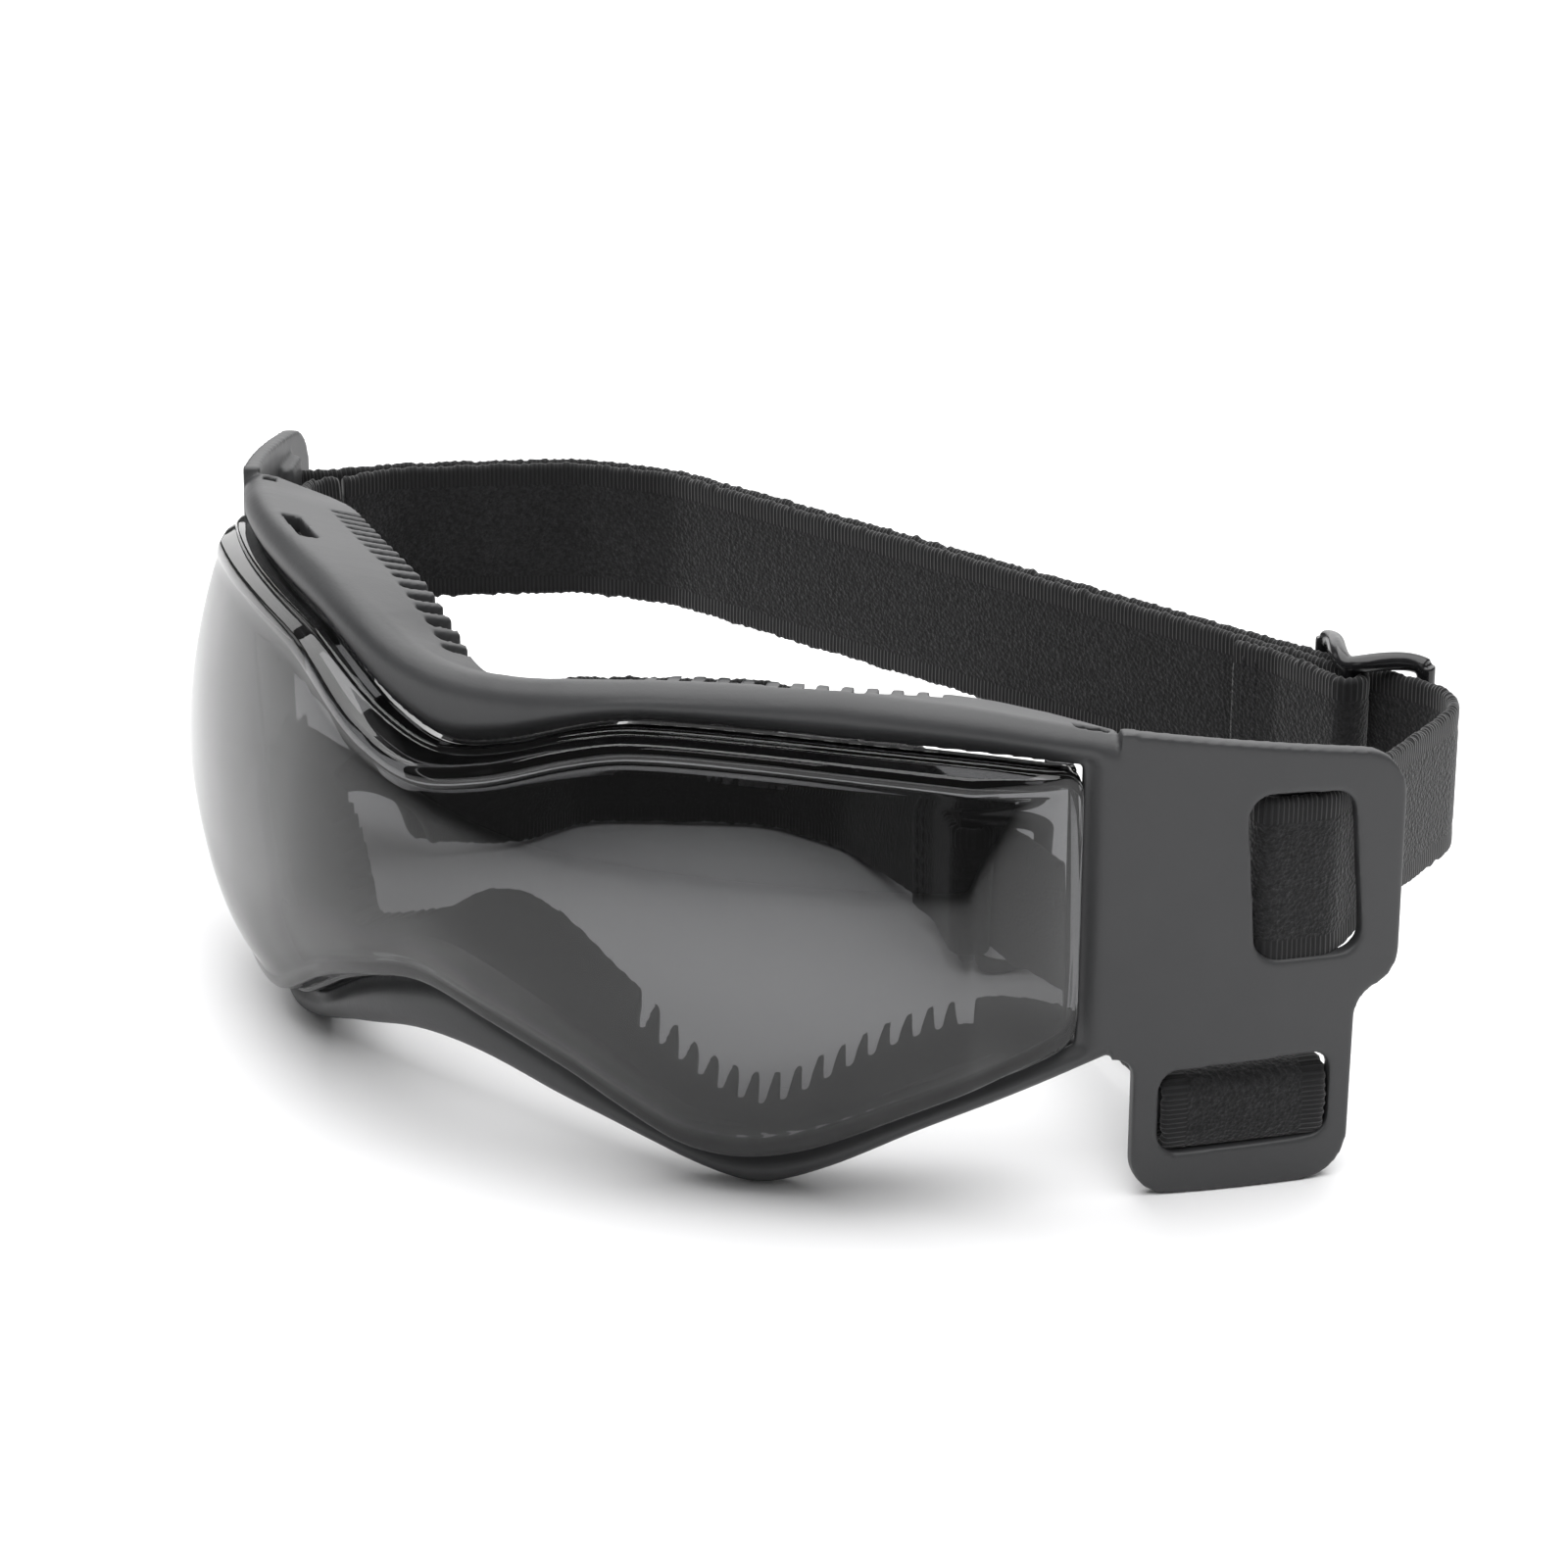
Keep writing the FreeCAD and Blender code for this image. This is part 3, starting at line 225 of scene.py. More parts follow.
# ---------------------------------------------------------------- frame

def outline_distance(u, z, end, low, high):
    """Distance in the unrolled face from (u, z) to the lens's outline."""
    across, upright, batch = 340, 60, 100
    places = np.linspace(-end, end, across)
    edge = np.concatenate([
        np.stack([places, height(high, places)], axis=1),
        np.stack([places, height(low, places)], axis=1)])
    for side in (-1, 1):
        levels = np.linspace(height(low, end), height(high, end), upright)
        edge = np.concatenate([edge, np.stack([np.full(upright, side * end), levels], axis=1)])
    distance = np.full(len(u), np.inf)
    for start in range(0, len(edge), batch):
        part = edge[start:start + batch]
        gap = np.hypot(u[:, None] - part[None, :, 0], z[:, None] - part[None, :, 1])
        distance = np.minimum(distance, gap.min(axis=1))
    return distance


def near_side_sag(u, w, z):
    """Drop of the brow shelf on the wearer's left, where the soft moulding sinks a little."""
    at_edge = np.interp(u, SAG_PLACES, SAG_EDGE)
    behind = np.interp(u, SAG_PLACES, SAG_BEHIND)
    back = np.clip((w - 4) / 11, 0, 1)
    above = np.clip((z - height(LENS_TOP, np.clip(np.abs(u), 0, LENS_END)) - 1) / 4, 0, 1)
    return (at_edge + (behind - at_edge) * back) * above * (u > 0)


def design_points(piece):
    """Vertices of a piece in the source's millimetres."""
    points = np.empty(len(piece.data.vertices) * 3)
    piece.data.vertices.foreach_get("co", points)
    return points.reshape(-1, 3) / MM + (0, FOOTPRINT_MIDDLE, 0)


def make_frame():
    """The moulding, with every edge rounded and a soft hollow round the lens."""
    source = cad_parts["frame"]
    piece = source.copy()
    piece.data = source.data.copy()
    piece.name = "goggle_frame"
    piece.parent = None
    bpy.context.scene.collection.objects.link(piece)
    remeshed(piece, 0.34, 5)

    wing_start, face_end, face_depth, groove_depth = 90, 92, 2.4, 2.6
    u = place_of(design_points(piece))[0]
    wings = piece.vertex_groups.new(name="wings")
    wings.add(np.flatnonzero(np.abs(u) > wing_start).tolist(), 1.0, "REPLACE")
    soften = piece.modifiers.new("wing_edges", "SMOOTH")
    soften.factor, soften.iterations, soften.vertex_group = 0.5, 12, "wings"
    apply_modifiers(piece)

    points = design_points(piece)
    u, w = place_of(points)
    near = (w < face_depth) & (np.abs(u) < face_end)
    gap = outline_distance(u[near], points[near, 2], LENS_END, LENS_BOTTOM, LENS_TOP)
    hollow = GROOVE * np.exp(-(np.maximum(gap - GROOVE_START, 0) / GROOVE_WIDE) ** 2)
    sink = hollow * np.clip((groove_depth - w[near]) / 2.0, 0, 1)
    points[near] = on_frame(u[near], w[near] + sink, points[near, 2])
    points[:, 2] -= near_side_sag(u, w, points[:, 2])
    mesh = piece.data
    mesh.vertices.foreach_set("co", ((points - (0, FOOTPRINT_MIDDLE, 0)) * MM).ravel())
    mesh.update()
    return piece


# ---------------------------------------------------------------- lens

def lens_edges(u):
    """Lower and upper height of the lens, its corners rounded, and how far it still bulges."""
    over = np.clip(np.abs(u) - (LENS_END - LENS_CORNER), 0, LENS_CORNER)
    drop = LENS_CORNER - np.sqrt(LENS_CORNER**2 - over**2)
    low = height(LENS_BOTTOM, u) + drop
    high = height(LENS_TOP, u) - drop
    fall = np.abs(u) - BEVEL_START
    slope = (fall + np.sqrt(fall**2 + BEVEL_SOFT**2)) / 2
    return low, high, 1 - BEVEL_FALL * slope / (LENS_END - BEVEL_START)


def bulge(z, low, share):
    """Reach of the lens's front before the face, at height z above the lower edge at low."""
    lean = max(z - BULGE_HEIGHT, 0.0) ** 2 / (2 * BULGE_RADIUS)
    tuck = max(low + TUCK_HEIGHT - z, 0.0) ** 2 / (2 * TUCK_RADIUS)
    return max((LENS_REACH - lean - tuck) * share, LEAST_REACH)


def inset_share(share):
    """Share of the full insets that is left where the bulge has fallen to share."""
    return END_SHARE + (1 - END_SHARE) * share


def lens_profile(reach, share):
    """(inset, depth) steps from the rim's back edge to the front face."""
    steps = [(0.0, RIM_BACK), (0.0, 1.0), (0.0, 0.0), (0.0, -0.45), (0.06, -0.68), (0.2, -0.84),
             (RIM_INSET, -RIM_FRONT), (0.56, -0.98), (WALL_INSET, -WALL_FOOT)]
    deep = LENS_REACH - SHOULDER
    wall = [(WALL_INSET + WALL_LEAN * k / 8, -WALL_FOOT - (deep - WALL_FOOT) * k / 8)
            for k in range(1, 9)]
    turn = [math.pi / 2 * k / 12 for k in range(1, 13)]
    middle, level = wall[-1][0] + SHOULDER, wall[-1][1]
    shoulder = [(middle - SHOULDER * math.cos(a), level - SHOULDER * math.sin(a)) for a in turn]
    profile = []
    for inset, depth in steps + wall + shoulder:
        if depth < -RIM_FRONT:
            stretch = (reach - RIM_FRONT) / (LENS_REACH - RIM_FRONT)
            depth = -RIM_FRONT + (depth + RIM_FRONT) * stretch
            inset = RIM_INSET + (inset - RIM_INSET) * inset_share(share)
        profile.append((inset, depth))
    return profile


def lens_places():
    """Places of the lens's sections, closer together where the ends turn back."""
    bands = [np.linspace(0, BEVEL_START - 2, 110),
             np.linspace(BEVEL_START - 1.6, BEVEL_START + 2, 12),
             np.linspace(BEVEL_START + 2.6, LENS_END - LENS_WALL - 0.05, 20),
             LENS_END - LENS_WALL * np.cos(np.linspace(0.05, math.pi / 2, 14))]
    half = np.unique(np.concatenate(bands))
    return np.concatenate([-half[:0:-1], half])


def outer_section(u, low, high, share):
    """(depth, height) round the outside of the lens at place u, from rim to rim."""
    across = 30
    inset = RIM_INSET + FRONT_INSET * inset_share(share)
    z0, z1 = low + inset, high - inset
    bottom = [(w, low + step) for step, w in lens_profile(bulge(z0, low, share), share)]
    top = [(w, high - step) for step, w in reversed(lens_profile(bulge(z1, low, share), share))]
    levels = [z0 + (z1 - z0) * k / across for k in range(1, across)]
    front = [(-bulge(z, low, share), z) for z in levels]
    sunk = END_SINK * min(max((abs(u) - END_START) / END_RUN, 0.0), 1.0) ** 2
    return [(w + sunk if w < 2.0 else w, z) for w, z in bottom + front + top]


def inner_section(section, u, low, high):
    """The same section one wall further in, flat where the ends are solid."""
    middle = (low + high) / 2
    squeeze = (high - low - 2 * LENS_WALL) / (high - low)
    hollow = []
    for w, z in section:
        depth = min(w + LENS_WALL, RIM_BACK) if abs(u) < LENS_END - LENS_WALL else RIM_BACK
        level = min(max(z, low + WALL_INSET), high - WALL_INSET)
        hollow.append((depth, middle + (level - middle) * squeeze))
    return hollow


def make_lens():
    """Shield lens: stepped rim, wall, round shoulder and a bulging front with bevelled ends."""
    places = lens_places()
    outer, inner = [], []
    for u, low, high, share in zip(places, *lens_edges(places)):
        section = outer_section(u, low, high, share)
        hollow = inner_section(section, u, low, high)
        outer.append(on_frame(u, [w for w, z in section], [z for w, z in section]))
        inner.append(on_frame(u, [w for w, z in hollow], [z for w, z in hollow]))
    rows, columns = len(places), len(outer[0])
    points = np.concatenate([np.array(outer).reshape(-1, 3), np.array(inner).reshape(-1, 3)])
    second = rows * columns
    faces = grid_faces(rows, columns) + grid_faces(rows, columns, second, flip=True)
    for r in range(rows - 1):
        for c in (0, columns - 1):
            a, b = r * columns + c, (r + 1) * columns + c
            faces.append((a, b, b + second, a + second))
    for r in (0, rows - 1):
        for c in range(columns - 1):
            a = r * columns + c
            faces.append((a, a + 1, a + 1 + second, a + second))
    # Tongues under the clip windows.
    for side in (-1, 1):
        for first, last in TONGUES:
            points, more = add_tongue(points, side, first, last)
            faces += more
    piece = add_mesh("shield_lens", points, faces)
    fix_normals(piece)
    return piece


def add_tongue(points, side, first, last):
    """Tongue with softened ends behind the lens's upper rim."""
    count, root = 16, 1.6
    base = len(points)
    rows = []
    for k in range(count + 1):
        t = k / count
        u = first + (last - first) * t
        ease = min(1.0, 4 * t * (1 - t) * 4)
        z = float(height(LENS_TOP, u)) - 0.25
        back = 3.6 + 2.0 * math.sqrt(ease)
        section = [(root, z - 1.5), (root, z), (back - 0.4, z - 0.1), (back, z - 0.5),
                   (back, z - 1.2), (back - 0.4, z - 1.5)]
        rows.append(on_frame(side * u, [w for w, h in section], [h for w, h in section]))
    size = len(section)
    faces = []
    for k in range(count):
        for c in range(size):
            a, b = base + k * size + c, base + k * size + (c + 1) % size
            faces.append((a, b, b + size, a + size))
    faces.append(tuple(base + c for c in range(size)))
    faces.append(tuple(base + count * size + c for c in range(size)))
    return np.concatenate([points, np.array(rows).reshape(-1, 3)]), faces


# ---------------------------------------------------------------- strap routes

def rounded_path(corners, step=0.4):
    """Evenly spaced points along straight runs and tangent arcs through (x, y, radius)."""
    count = len(corners)
    runs = []
    last = np.array(corners[0][:2], float)
    for i in range(1, count - 1):
        here = np.array(corners[i][:2], float)
        back = np.array(corners[i - 1][:2], float) - here
        ahead = np.array(corners[i + 1][:2], float) - here
        back /= np.linalg.norm(back)
        ahead /= np.linalg.norm(ahead)
        half = math.acos(np.clip(back @ ahead, -1, 1)) / 2
        radius = corners[i][2]
        reach = radius / math.tan(half)
        middle = (back + ahead) / np.linalg.norm(back + ahead)
        centre = here + middle * radius / math.sin(half)
        start, end = here + back * reach, here + ahead * reach
        runs.append(np.linspace(last, start, max(2, int(np.linalg.norm(start - last) / step) + 1)))
        a0 = math.atan2(*(start - centre)[::-1])
        a1 = math.atan2(*(end - centre)[::-1])
        turn = (a1 - a0 + math.pi) % (2 * math.pi) - math.pi
        angles = a0 + turn * np.linspace(0, 1, max(6, int(abs(turn) * radius / step) + 1))
        runs.append(centre + radius * np.stack([np.cos(angles), np.sin(angles)], axis=1))
        last = end
    end = np.array(corners[-1][:2], float)
    runs.append(np.linspace(last, end, max(2, int(np.linalg.norm(end - last) / step) + 1)))
    return even(np.concatenate(runs), step)


def even(points, step):
    """The same line with points at even spacing."""
    gaps = np.linalg.norm(np.diff(points, axis=0), axis=1)
    keep = np.concatenate([[True], gaps > 1e-6])
    points = points[keep]
    along = np.concatenate([[0], np.cumsum(np.linalg.norm(np.diff(points, axis=0), axis=1))])
    places = np.linspace(0, along[-1], max(2, int(along[-1] / step) + 1))
    return np.stack([np.interp(places, along, points[:, k]) for k in range(points.shape[1])], axis=1)


def softened(values, rounds):
    """Values eased along a line, ends kept."""
    values = values.copy()
    for _ in range(rounds):
        values[1:-1] = (values[:-2] + 2 * values[1:-1] + values[2:]) / 4
    return values


def wing_axes(side, place):
    """Point on the wing's face, the direction along it to the rear, and inwards."""
    base = on_frame(place, 0, 0)
    turn = float(turn_at(place))
    along = np.array([math.cos(turn), math.sin(turn), 0.0])
    inwards = np.array([-math.sin(turn), math.cos(turn), 0.0])
    mirror = np.array([side, 1, 1])
    return base * mirror, along * mirror, inwards * mirror


def wing_place(side, place, s, w):
    """Plan point s along a wing from place, w deep."""
    base, along, inwards = wing_axes(side, place)
    point = base + along * s + inwards * w
    return (float(point[0]), float(point[1]))


def head_wrap(side):
    """Corners round the head strap's bar: a slack loop, from behind the bar to over it."""
    corners = HEAD_LOOP + [(LOOP_ENDS[side], LOOP_OVER, WRAP)]
    return [wing_place(side, HEAD_BAR_PLACE, s, w) + (radius,) for s, w, radius in corners]


def towards(start, target, length):
    """Plan point length away from start on the line to target."""
    start, target = np.array(start[:2], float), np.array(target[:2], float)
    heading = (target - start) / np.linalg.norm(target - start)
    point = start + heading * length
    return (float(point[0]), float(point[1]))


def offset_route(points, distance):
    """Route moved to its right, corner by corner."""
    moved = []
    for i, (x, y, radius) in enumerate(points):
        headings = []
        if i > 0:
            headings.append(np.array([x - points[i - 1][0], y - points[i - 1][1]]))
        if i + 1 < len(points):
            headings.append(np.array([points[i + 1][0] - x, points[i + 1][1] - y]))
        headings = [h / np.linalg.norm(h) for h in headings]
        sides = [np.array([h[1], -h[0]]) for h in headings]
        middle = sides[0] + sides[-1]
        middle /= np.linalg.norm(middle)
        reach = distance / (middle @ sides[0])
        turn = headings[0][0] * headings[-1][1] - headings[0][1] * headings[-1][0]
        change = -distance if turn < 0 else distance
        moved.append((x + middle[0] * reach, y + middle[1] * reach,
                      max(radius + change, 1.0) if radius else 0))
    return moved


def head_routes():
    """Corners of the head strap and of its inner run, in plan."""
    right, left = head_wrap(1), head_wrap(-1)
    inner = offset_route([left[-1]] + HEAD_ROUTE[:3] + [(0.0, HEAD_BACK, 0)], STRAP_PITCH)
    start = towards(left[0], inner[1], 6.0)
    sewn = towards(right[0], HEAD_ROUTE[-1], 15.0)
    outer = [sewn + (0,)] + right + HEAD_ROUTE[::-1] + left[::-1] + [start + (0,)]
    begin = towards(left[0], inner[1], 6.05)
    run = [begin + (0,)] + inner[1:4]
    run.append((HEAD_SLIDER - SLIDER_TAIL - 0.05, HEAD_BACK - STRAP_PITCH, 0))
    return outer, run


# ---------------------------------------------------------------- webbing

def web_section():
    """Closed cross-section with round edges: (across, 1 on the outer face to -1 behind)."""
    radius = STRAP_THICK / 2
    flat = STRAP_WIDE / 2 - radius
    count, bend = 22, 6
    section = []
    for way in (1, -1):
        for k in range(count + 1):
            section.append((way * flat * (2 * k / count - 1), float(way)))
        for k in range(1, bend):
            a = way * math.pi / 2 - math.pi * k / bend
            section.append((way * flat + radius * math.cos(a), math.sin(a)))
    return np.array(section)


def webbing(name, centres, faces_out, seed, spread=0):
    """Elastic webbing along centres, its outer face towards faces_out, spread wider by place."""
    centres = np.asarray(centres, float)
    heading = headings(centres)
    out = np.asarray(faces_out, float)
    wide_way = np.cross(out, heading)
    wide_way /= np.linalg.norm(wide_way, axis=1)[:, None]
    out = np.cross(heading, wide_way)
    steps = np.linalg.norm(np.diff(centres, axis=0), axis=1)
    along = np.concatenate([[0], np.cumsum(steps)])
    widen = 1 + np.broadcast_to(spread, len(centres)) / STRAP_WIDE

    # The face sways, the edges are uneven, and a slight waist lies where selvedge meets plush.
    half, radius = STRAP_WIDE / 2, STRAP_THICK / 2
    fringe, rib_rate, waist, waist_wide = 1.4, 5.2, 3.0, 0.45
    section = web_section()
    draw = np.random.default_rng(seed)
    waves = [(draw.uniform(0.05, 0.12), draw.uniform(0, 6.28)) for _ in range(4)]
    sway = sum(0.11 * np.sin(along * rate + phase) for rate, phase in waves)
    nibble = softened(draw.normal(0, 0.16, (len(centres), 2)), 1)
    ribs = [np.sin(along * rib_rate), np.sin(along * rib_rate + 1.7)]
    nibble += 0.09 * np.stack(ribs, axis=1)

    points, uvs = [], []
    for i in range(len(centres)):
        x = section[:, 0].copy()
        edge = np.clip((np.abs(x) - (half - fringe)) / fringe, 0, 1)
        x = x * widen[i] + np.where(x > 0, nibble[i, 0], nibble[i, 1]) * edge
        lip = 1 - 0.16 * np.exp(-((np.abs(section[:, 0]) - (half - waist)) / waist_wide) ** 2)
        y = section[:, 1] * radius * np.where(np.abs(section[:, 1]) == 1, lip, 1)
        points.append(centres[i] + np.outer(x, wide_way[i]) + np.outer(y + 0.25 * sway[i], out[i]))
        uvs.append(np.stack([np.full(len(x), along[i] / 100), section[:, 0] / 100 + 0.5], axis=1))
    size = len(section)
    quads = []
    for i in range(len(centres) - 1):
        for c in range(size):
            a, b = i * size + c, i * size + (c + 1) % size
            quads.append((a, b, b + size, a + size))
    points = np.array(points).reshape(-1, 3)
    uvs = np.array(uvs).reshape(-1, 2)
    for end, place in ((0, 0), (1, len(centres) - 1)):
        ring = [place * size + c for c in range(size)]
        quads.append(tuple(ring if end else ring[::-1]))
    piece = add_mesh(name, points, quads, uvs)
    fix_normals(piece)
    return piece


def stand(path, level):
    """Centres and outer faces of webbing that stands on edge along a plan path."""
    centres = np.column_stack([path, np.full(len(path), level)])
    return centres, np.cross(headings(centres), UP)


def near_bars(centres, place):
    """1 at the wings' bars, fading to 0 within a strap's width."""
    share = np.zeros(len(centres))
    for side in (-1, 1):
        base = wing_axes(side, place)[0]
        gap = np.hypot(centres[:, 0] - base[0], centres[:, 1] - base[1])
        share = np.maximum(share, np.exp(-(gap / BAR_FADE) ** 4))
    return share


def make_head_strap():
    """Head strap's fixed run and its inner run."""
    outer, run = head_routes()
    path = softened(rounded_path(outer), 10)
    centres, out = stand(path, HEAD_HEIGHT)
    close = near_bars(centres, HEAD_BAR_PLACE)
    centres[:, 2] -= HEAD_DROP * close
    main_run = webbing("head_strap_web", centres, out, seed=3, spread=HEAD_SPREAD * close)
    path = softened(rounded_path(run), 10)
    centres, out = stand(path, HEAD_HEIGHT)
    return main_run, webbing("head_strap_inner_web", centres, out, seed=4)


def slider_end_path():
    """Webbing folded round a slider's middle bar, in the slider's own plan frame."""
    turn, radius = ROD_TURN, ROD_TURN - 0.02
    near = ROD_MIDDLE + turn
    far = near - STRAP_PITCH
    route = [(-SLIDER_TAIL, near, 0), (turn, near, radius), (turn, ROD_MIDDLE - turn - 0.6, radius),
             (-11.0, far, 8), (-SLIDER_TAIL, far, 0)]
    return rounded_path(route, 0.3)


def slider_frame(which):
    """Origin, direction along the webbing and direction away from the wearer."""
    if which == "head":
        return (np.array([HEAD_SLIDER, HEAD_BACK, HEAD_HEIGHT]), np.array([1.0, 0, 0]),
                np.array([0, 1.0, 0]))
    start = np.array([CHIN_ROUTE[-1][0], CHIN_ROUTE[-1][1], 0.0])
    heading = np.array([CHIN_ROUTE[-2][0], CHIN_ROUTE[-2][1], 0.0]) - start
    heading /= np.linalg.norm(heading)
    origin = start + heading * CHIN_SLIDER + UP * CHIN_HEIGHT
    return origin, -heading, np.cross(UP, -heading)


def make_slider_end(which):
    """Fold of webbing that rides on a slider."""
    origin, along, away = slider_frame(which)
    path = slider_end_path()
    centres = origin + np.outer(path[:, 0], along) + np.outer(path[:, 1], away)
    heading = np.gradient(centres, axis=0)
    return webbing(which + "_slider_end_web", centres, np.cross(heading, UP), seed=5)


# ---------------------------------------------------------------- chin strap

def twist_path(side, layer, share=1.0):
    """Centres and faces of a chin strap layer that turns from flat to on edge."""
    route = CHIN_ROUTE if side < 0 else CHIN_ROUTE[::-1]
    base, _, inwards = wing_axes(side, CHIN_BAR_PLACE)
    start = base + inwards * TWIST_DEPTH + UP * CHIN_BAR_HEIGHT
    heading = np.array([route[1][0] - route[0][0], route[1][1] - route[0][1], 0.0])
    heading /= np.linalg.norm(heading)
    outwards = np.array([heading[1], -heading[0], 0.0]) * side
    end = np.array([route[0][0], route[0][1], CHIN_HEIGHT]) - outwards * STRAP_PITCH / 2
    bend = np.linalg.norm(end - start)
    centres, faces = [], []
    for part in np.linspace(0, share, max(8, int(50 * share))):
        b0, b1 = 2 * part**3 - 3 * part**2 + 1, part**3 - 2 * part**2 + part
        b2, b3 = 3 * part**2 - 2 * part**3, part**3 - part**2
        middle = start * b0 + inwards * bend * b1 + end * b2 + heading * bend * b3
        ahead = inwards * (1 - b2) + heading * b2
        ahead /= np.linalg.norm(ahead)
        out = np.array([ahead[1], -ahead[0], 0.0]) * side
        face = UP * math.cos(math.pi / 2 * b2) + out * math.sin(math.pi / 2 * b2)
        centres.append(middle + face * layer * STRAP_PITCH / 2)
        faces.append(face)
    return np.array(centres), np.array(faces)


def chin_loop(side):
    """Centres and outer faces of the slack loop round the chin strap's bar, from above to below."""
    edge = CHIN_BAR_WIDE / 2 - BAR_THICK / 2
    run = TWIST_DEPTH - BAR_DEPTH
    half = STRAP_PITCH / 2
    lean = math.asin(WRAP / math.hypot(run, edge - half)) + math.atan2(edge - half, run)
    corner = half + math.tan(lean) * (TWIST_DEPTH - BEFORE)
    route = [(TWIST_DEPTH, half, 0), (BEFORE, corner + 0.4, WRAP - 0.01),
             (BEFORE, -corner - 3.0, WRAP - 0.01), (TWIST_DEPTH - 4.0, -half - 3.2, 3.0),
             (TWIST_DEPTH, -half, 0)]
    path = softened(rounded_path(route, 0.3), 4)
    base, _, inwards = wing_axes(side, CHIN_BAR_PLACE)
    centres = base + np.outer(path[:, 0], inwards) + np.outer(path[:, 1] + CHIN_BAR_HEIGHT, UP)
    slope = headings(path)
    faces = np.outer(slope[:, 1], inwards) - np.outer(slope[:, 0], UP)
    return centres, faces


def chain(parts):
    """Stretches of webbing joined end to end and eased where they meet."""
    centres = np.concatenate([part[0][1 if i else 0:] for i, part in enumerate(parts)])
    faces = np.concatenate([part[1][1 if i else 0:] for i, part in enumerate(parts)])
    both = even(np.column_stack([centres, faces]), 0.4)
    both = softened(both, 10)
    return both[:, :3], both[:, 3:]


def backwards(part, flip=False):
    """A stretch of webbing run the other way, turned over if flip is set."""
    return part[0][::-1], part[1][::-1] * (-1 if flip else 1)


def lie_down(centres, most=2.4):
    """The far part of the chin strap sinks to the table."""
    x = centres[:, 0]
    share = np.clip((5 - x) / 30, 0, 1) * np.clip((x + 66) / 8, 0, 1)
    share = share * share * (3 - 2 * share)
    centres = centres.copy()
    centres[:, 2] -= most * share
    return centres


def make_chin_strap():
    """Chin strap's fixed run and its inner run."""
    outer = stand(rounded_path(CHIN_ROUTE)[::-1], CHIN_HEIGHT)
    parts = [backwards(twist_path(1, -1, 0.6), True), backwards(chin_loop(1)), twist_path(1, 1),
             outer, backwards(twist_path(-1, 1)), chin_loop(-1)]
    centres, faces = chain(parts)
    spread = CHIN_SPREAD * near_bars(centres, CHIN_BAR_PLACE)
    main_run = webbing("chin_strap_web", lie_down(centres), faces, seed=7, spread=spread)

    inner = offset_route(CHIN_ROUTE, STRAP_PITCH)
    origin, along, away = slider_frame("chin")
    last = origin - along * (SLIDER_TAIL + 0.05) - away * STRAP_PITCH
    run = rounded_path(inner[:-1] + [(float(last[0]), float(last[1]), 0)])
    centres, faces = stand(run, CHIN_HEIGHT)
    centres, faces = chain([twist_path(-1, -1), (centres, -faces)])
    return main_run, webbing("chin_strap_inner_web", lie_down(centres), faces, seed=8)


# ---------------------------------------------------------------- sliders

def tube(points, radius, sides=16):
    """Closed round rod along points: its points and faces."""
    points = np.asarray(points, float)
    heading = headings(points)
    lead = np.cross(heading, UP if abs(heading[0, 2]) < 0.8 else np.array([1.0, 0, 0]))
    lead /= np.linalg.norm(lead, axis=1)[:, None]
    other = np.cross(heading, lead)
    rings = []
    for i in range(len(points)):
        for k in range(sides):
            a = 2 * math.pi * k / sides
            rings.append(points[i] + radius * (math.cos(a) * lead[i] + math.sin(a) * other[i]))
    faces = []
    for i in range(len(points) - 1):
        for k in range(sides):
            a, b = i * sides + k, i * sides + (k + 1) % sides
            faces.append((a, b, b + sides, a + sides))
    faces.append(tuple(range(sides))[::-1])
    faces.append(tuple((len(points) - 1) * sides + k for k in range(sides)))
    return np.array(rings), faces


def joined(parts):
    """Points and faces of several parts as one mesh."""
    points, faces, count = [], [], 0
    for rings, quads in parts:
        points.append(rings)
        faces += [tuple(i + count for i in quad) for quad in quads]
        count += len(rings)
    return np.concatenate(points), faces


def make_slider(which):
    """Three-bar slider: upright rods joined by waved rails that arch between them."""
    origin, along, away = slider_frame(which)
    top = STRAP_WIDE / 2 + RAIL_ROOM + ROD / 2
    arch, inset = 0.75, 0.5
    parts = []
    for x, y in ((-ROD_SPACING, ROD_OUTER), (0.0, ROD_MIDDLE), (ROD_SPACING, ROD_OUTER)):
        levels = np.linspace(-top + inset, top - inset, 12)
        line = origin + np.outer(np.full(12, x), along) + np.outer(np.full(12, y), away)
        parts.append(tube(line + np.outer(levels, UP), ROD / 2 - 0.02))
    for side in (-1, 1):
        x = np.linspace(-ROD_SPACING, ROD_SPACING, 61)
        swing = (1 + np.cos(np.pi * x / ROD_SPACING)) / 2
        y = ROD_OUTER + (ROD_MIDDLE - ROD_OUTER) * swing
        z = side * (top - arch + arch * np.abs(np.sin(np.pi * x / ROD_SPACING)))
        line = origin + np.outer(x, along) + np.outer(y, away) + np.outer(z, UP)
        parts.append(tube(line, ROD / 2))
    points, faces = joined(parts)
    piece = add_mesh(which + "_slider_body", points, faces)
    remeshed(piece, 0.22, 6)
    return piece


# ---------------------------------------------------------------- sewing

def stitch(centre, along, out, long=1.9, thick=0.2):
    """Sunk-ended stitch: a short thread that arches over the webbing."""
    t = np.linspace(-1, 1, 9)
    lift = 0.22 * (1 - t**2) - 0.12
    return tube(centre + np.outer(t * long / 2, along) + np.outer(lift, out), thick, 8)


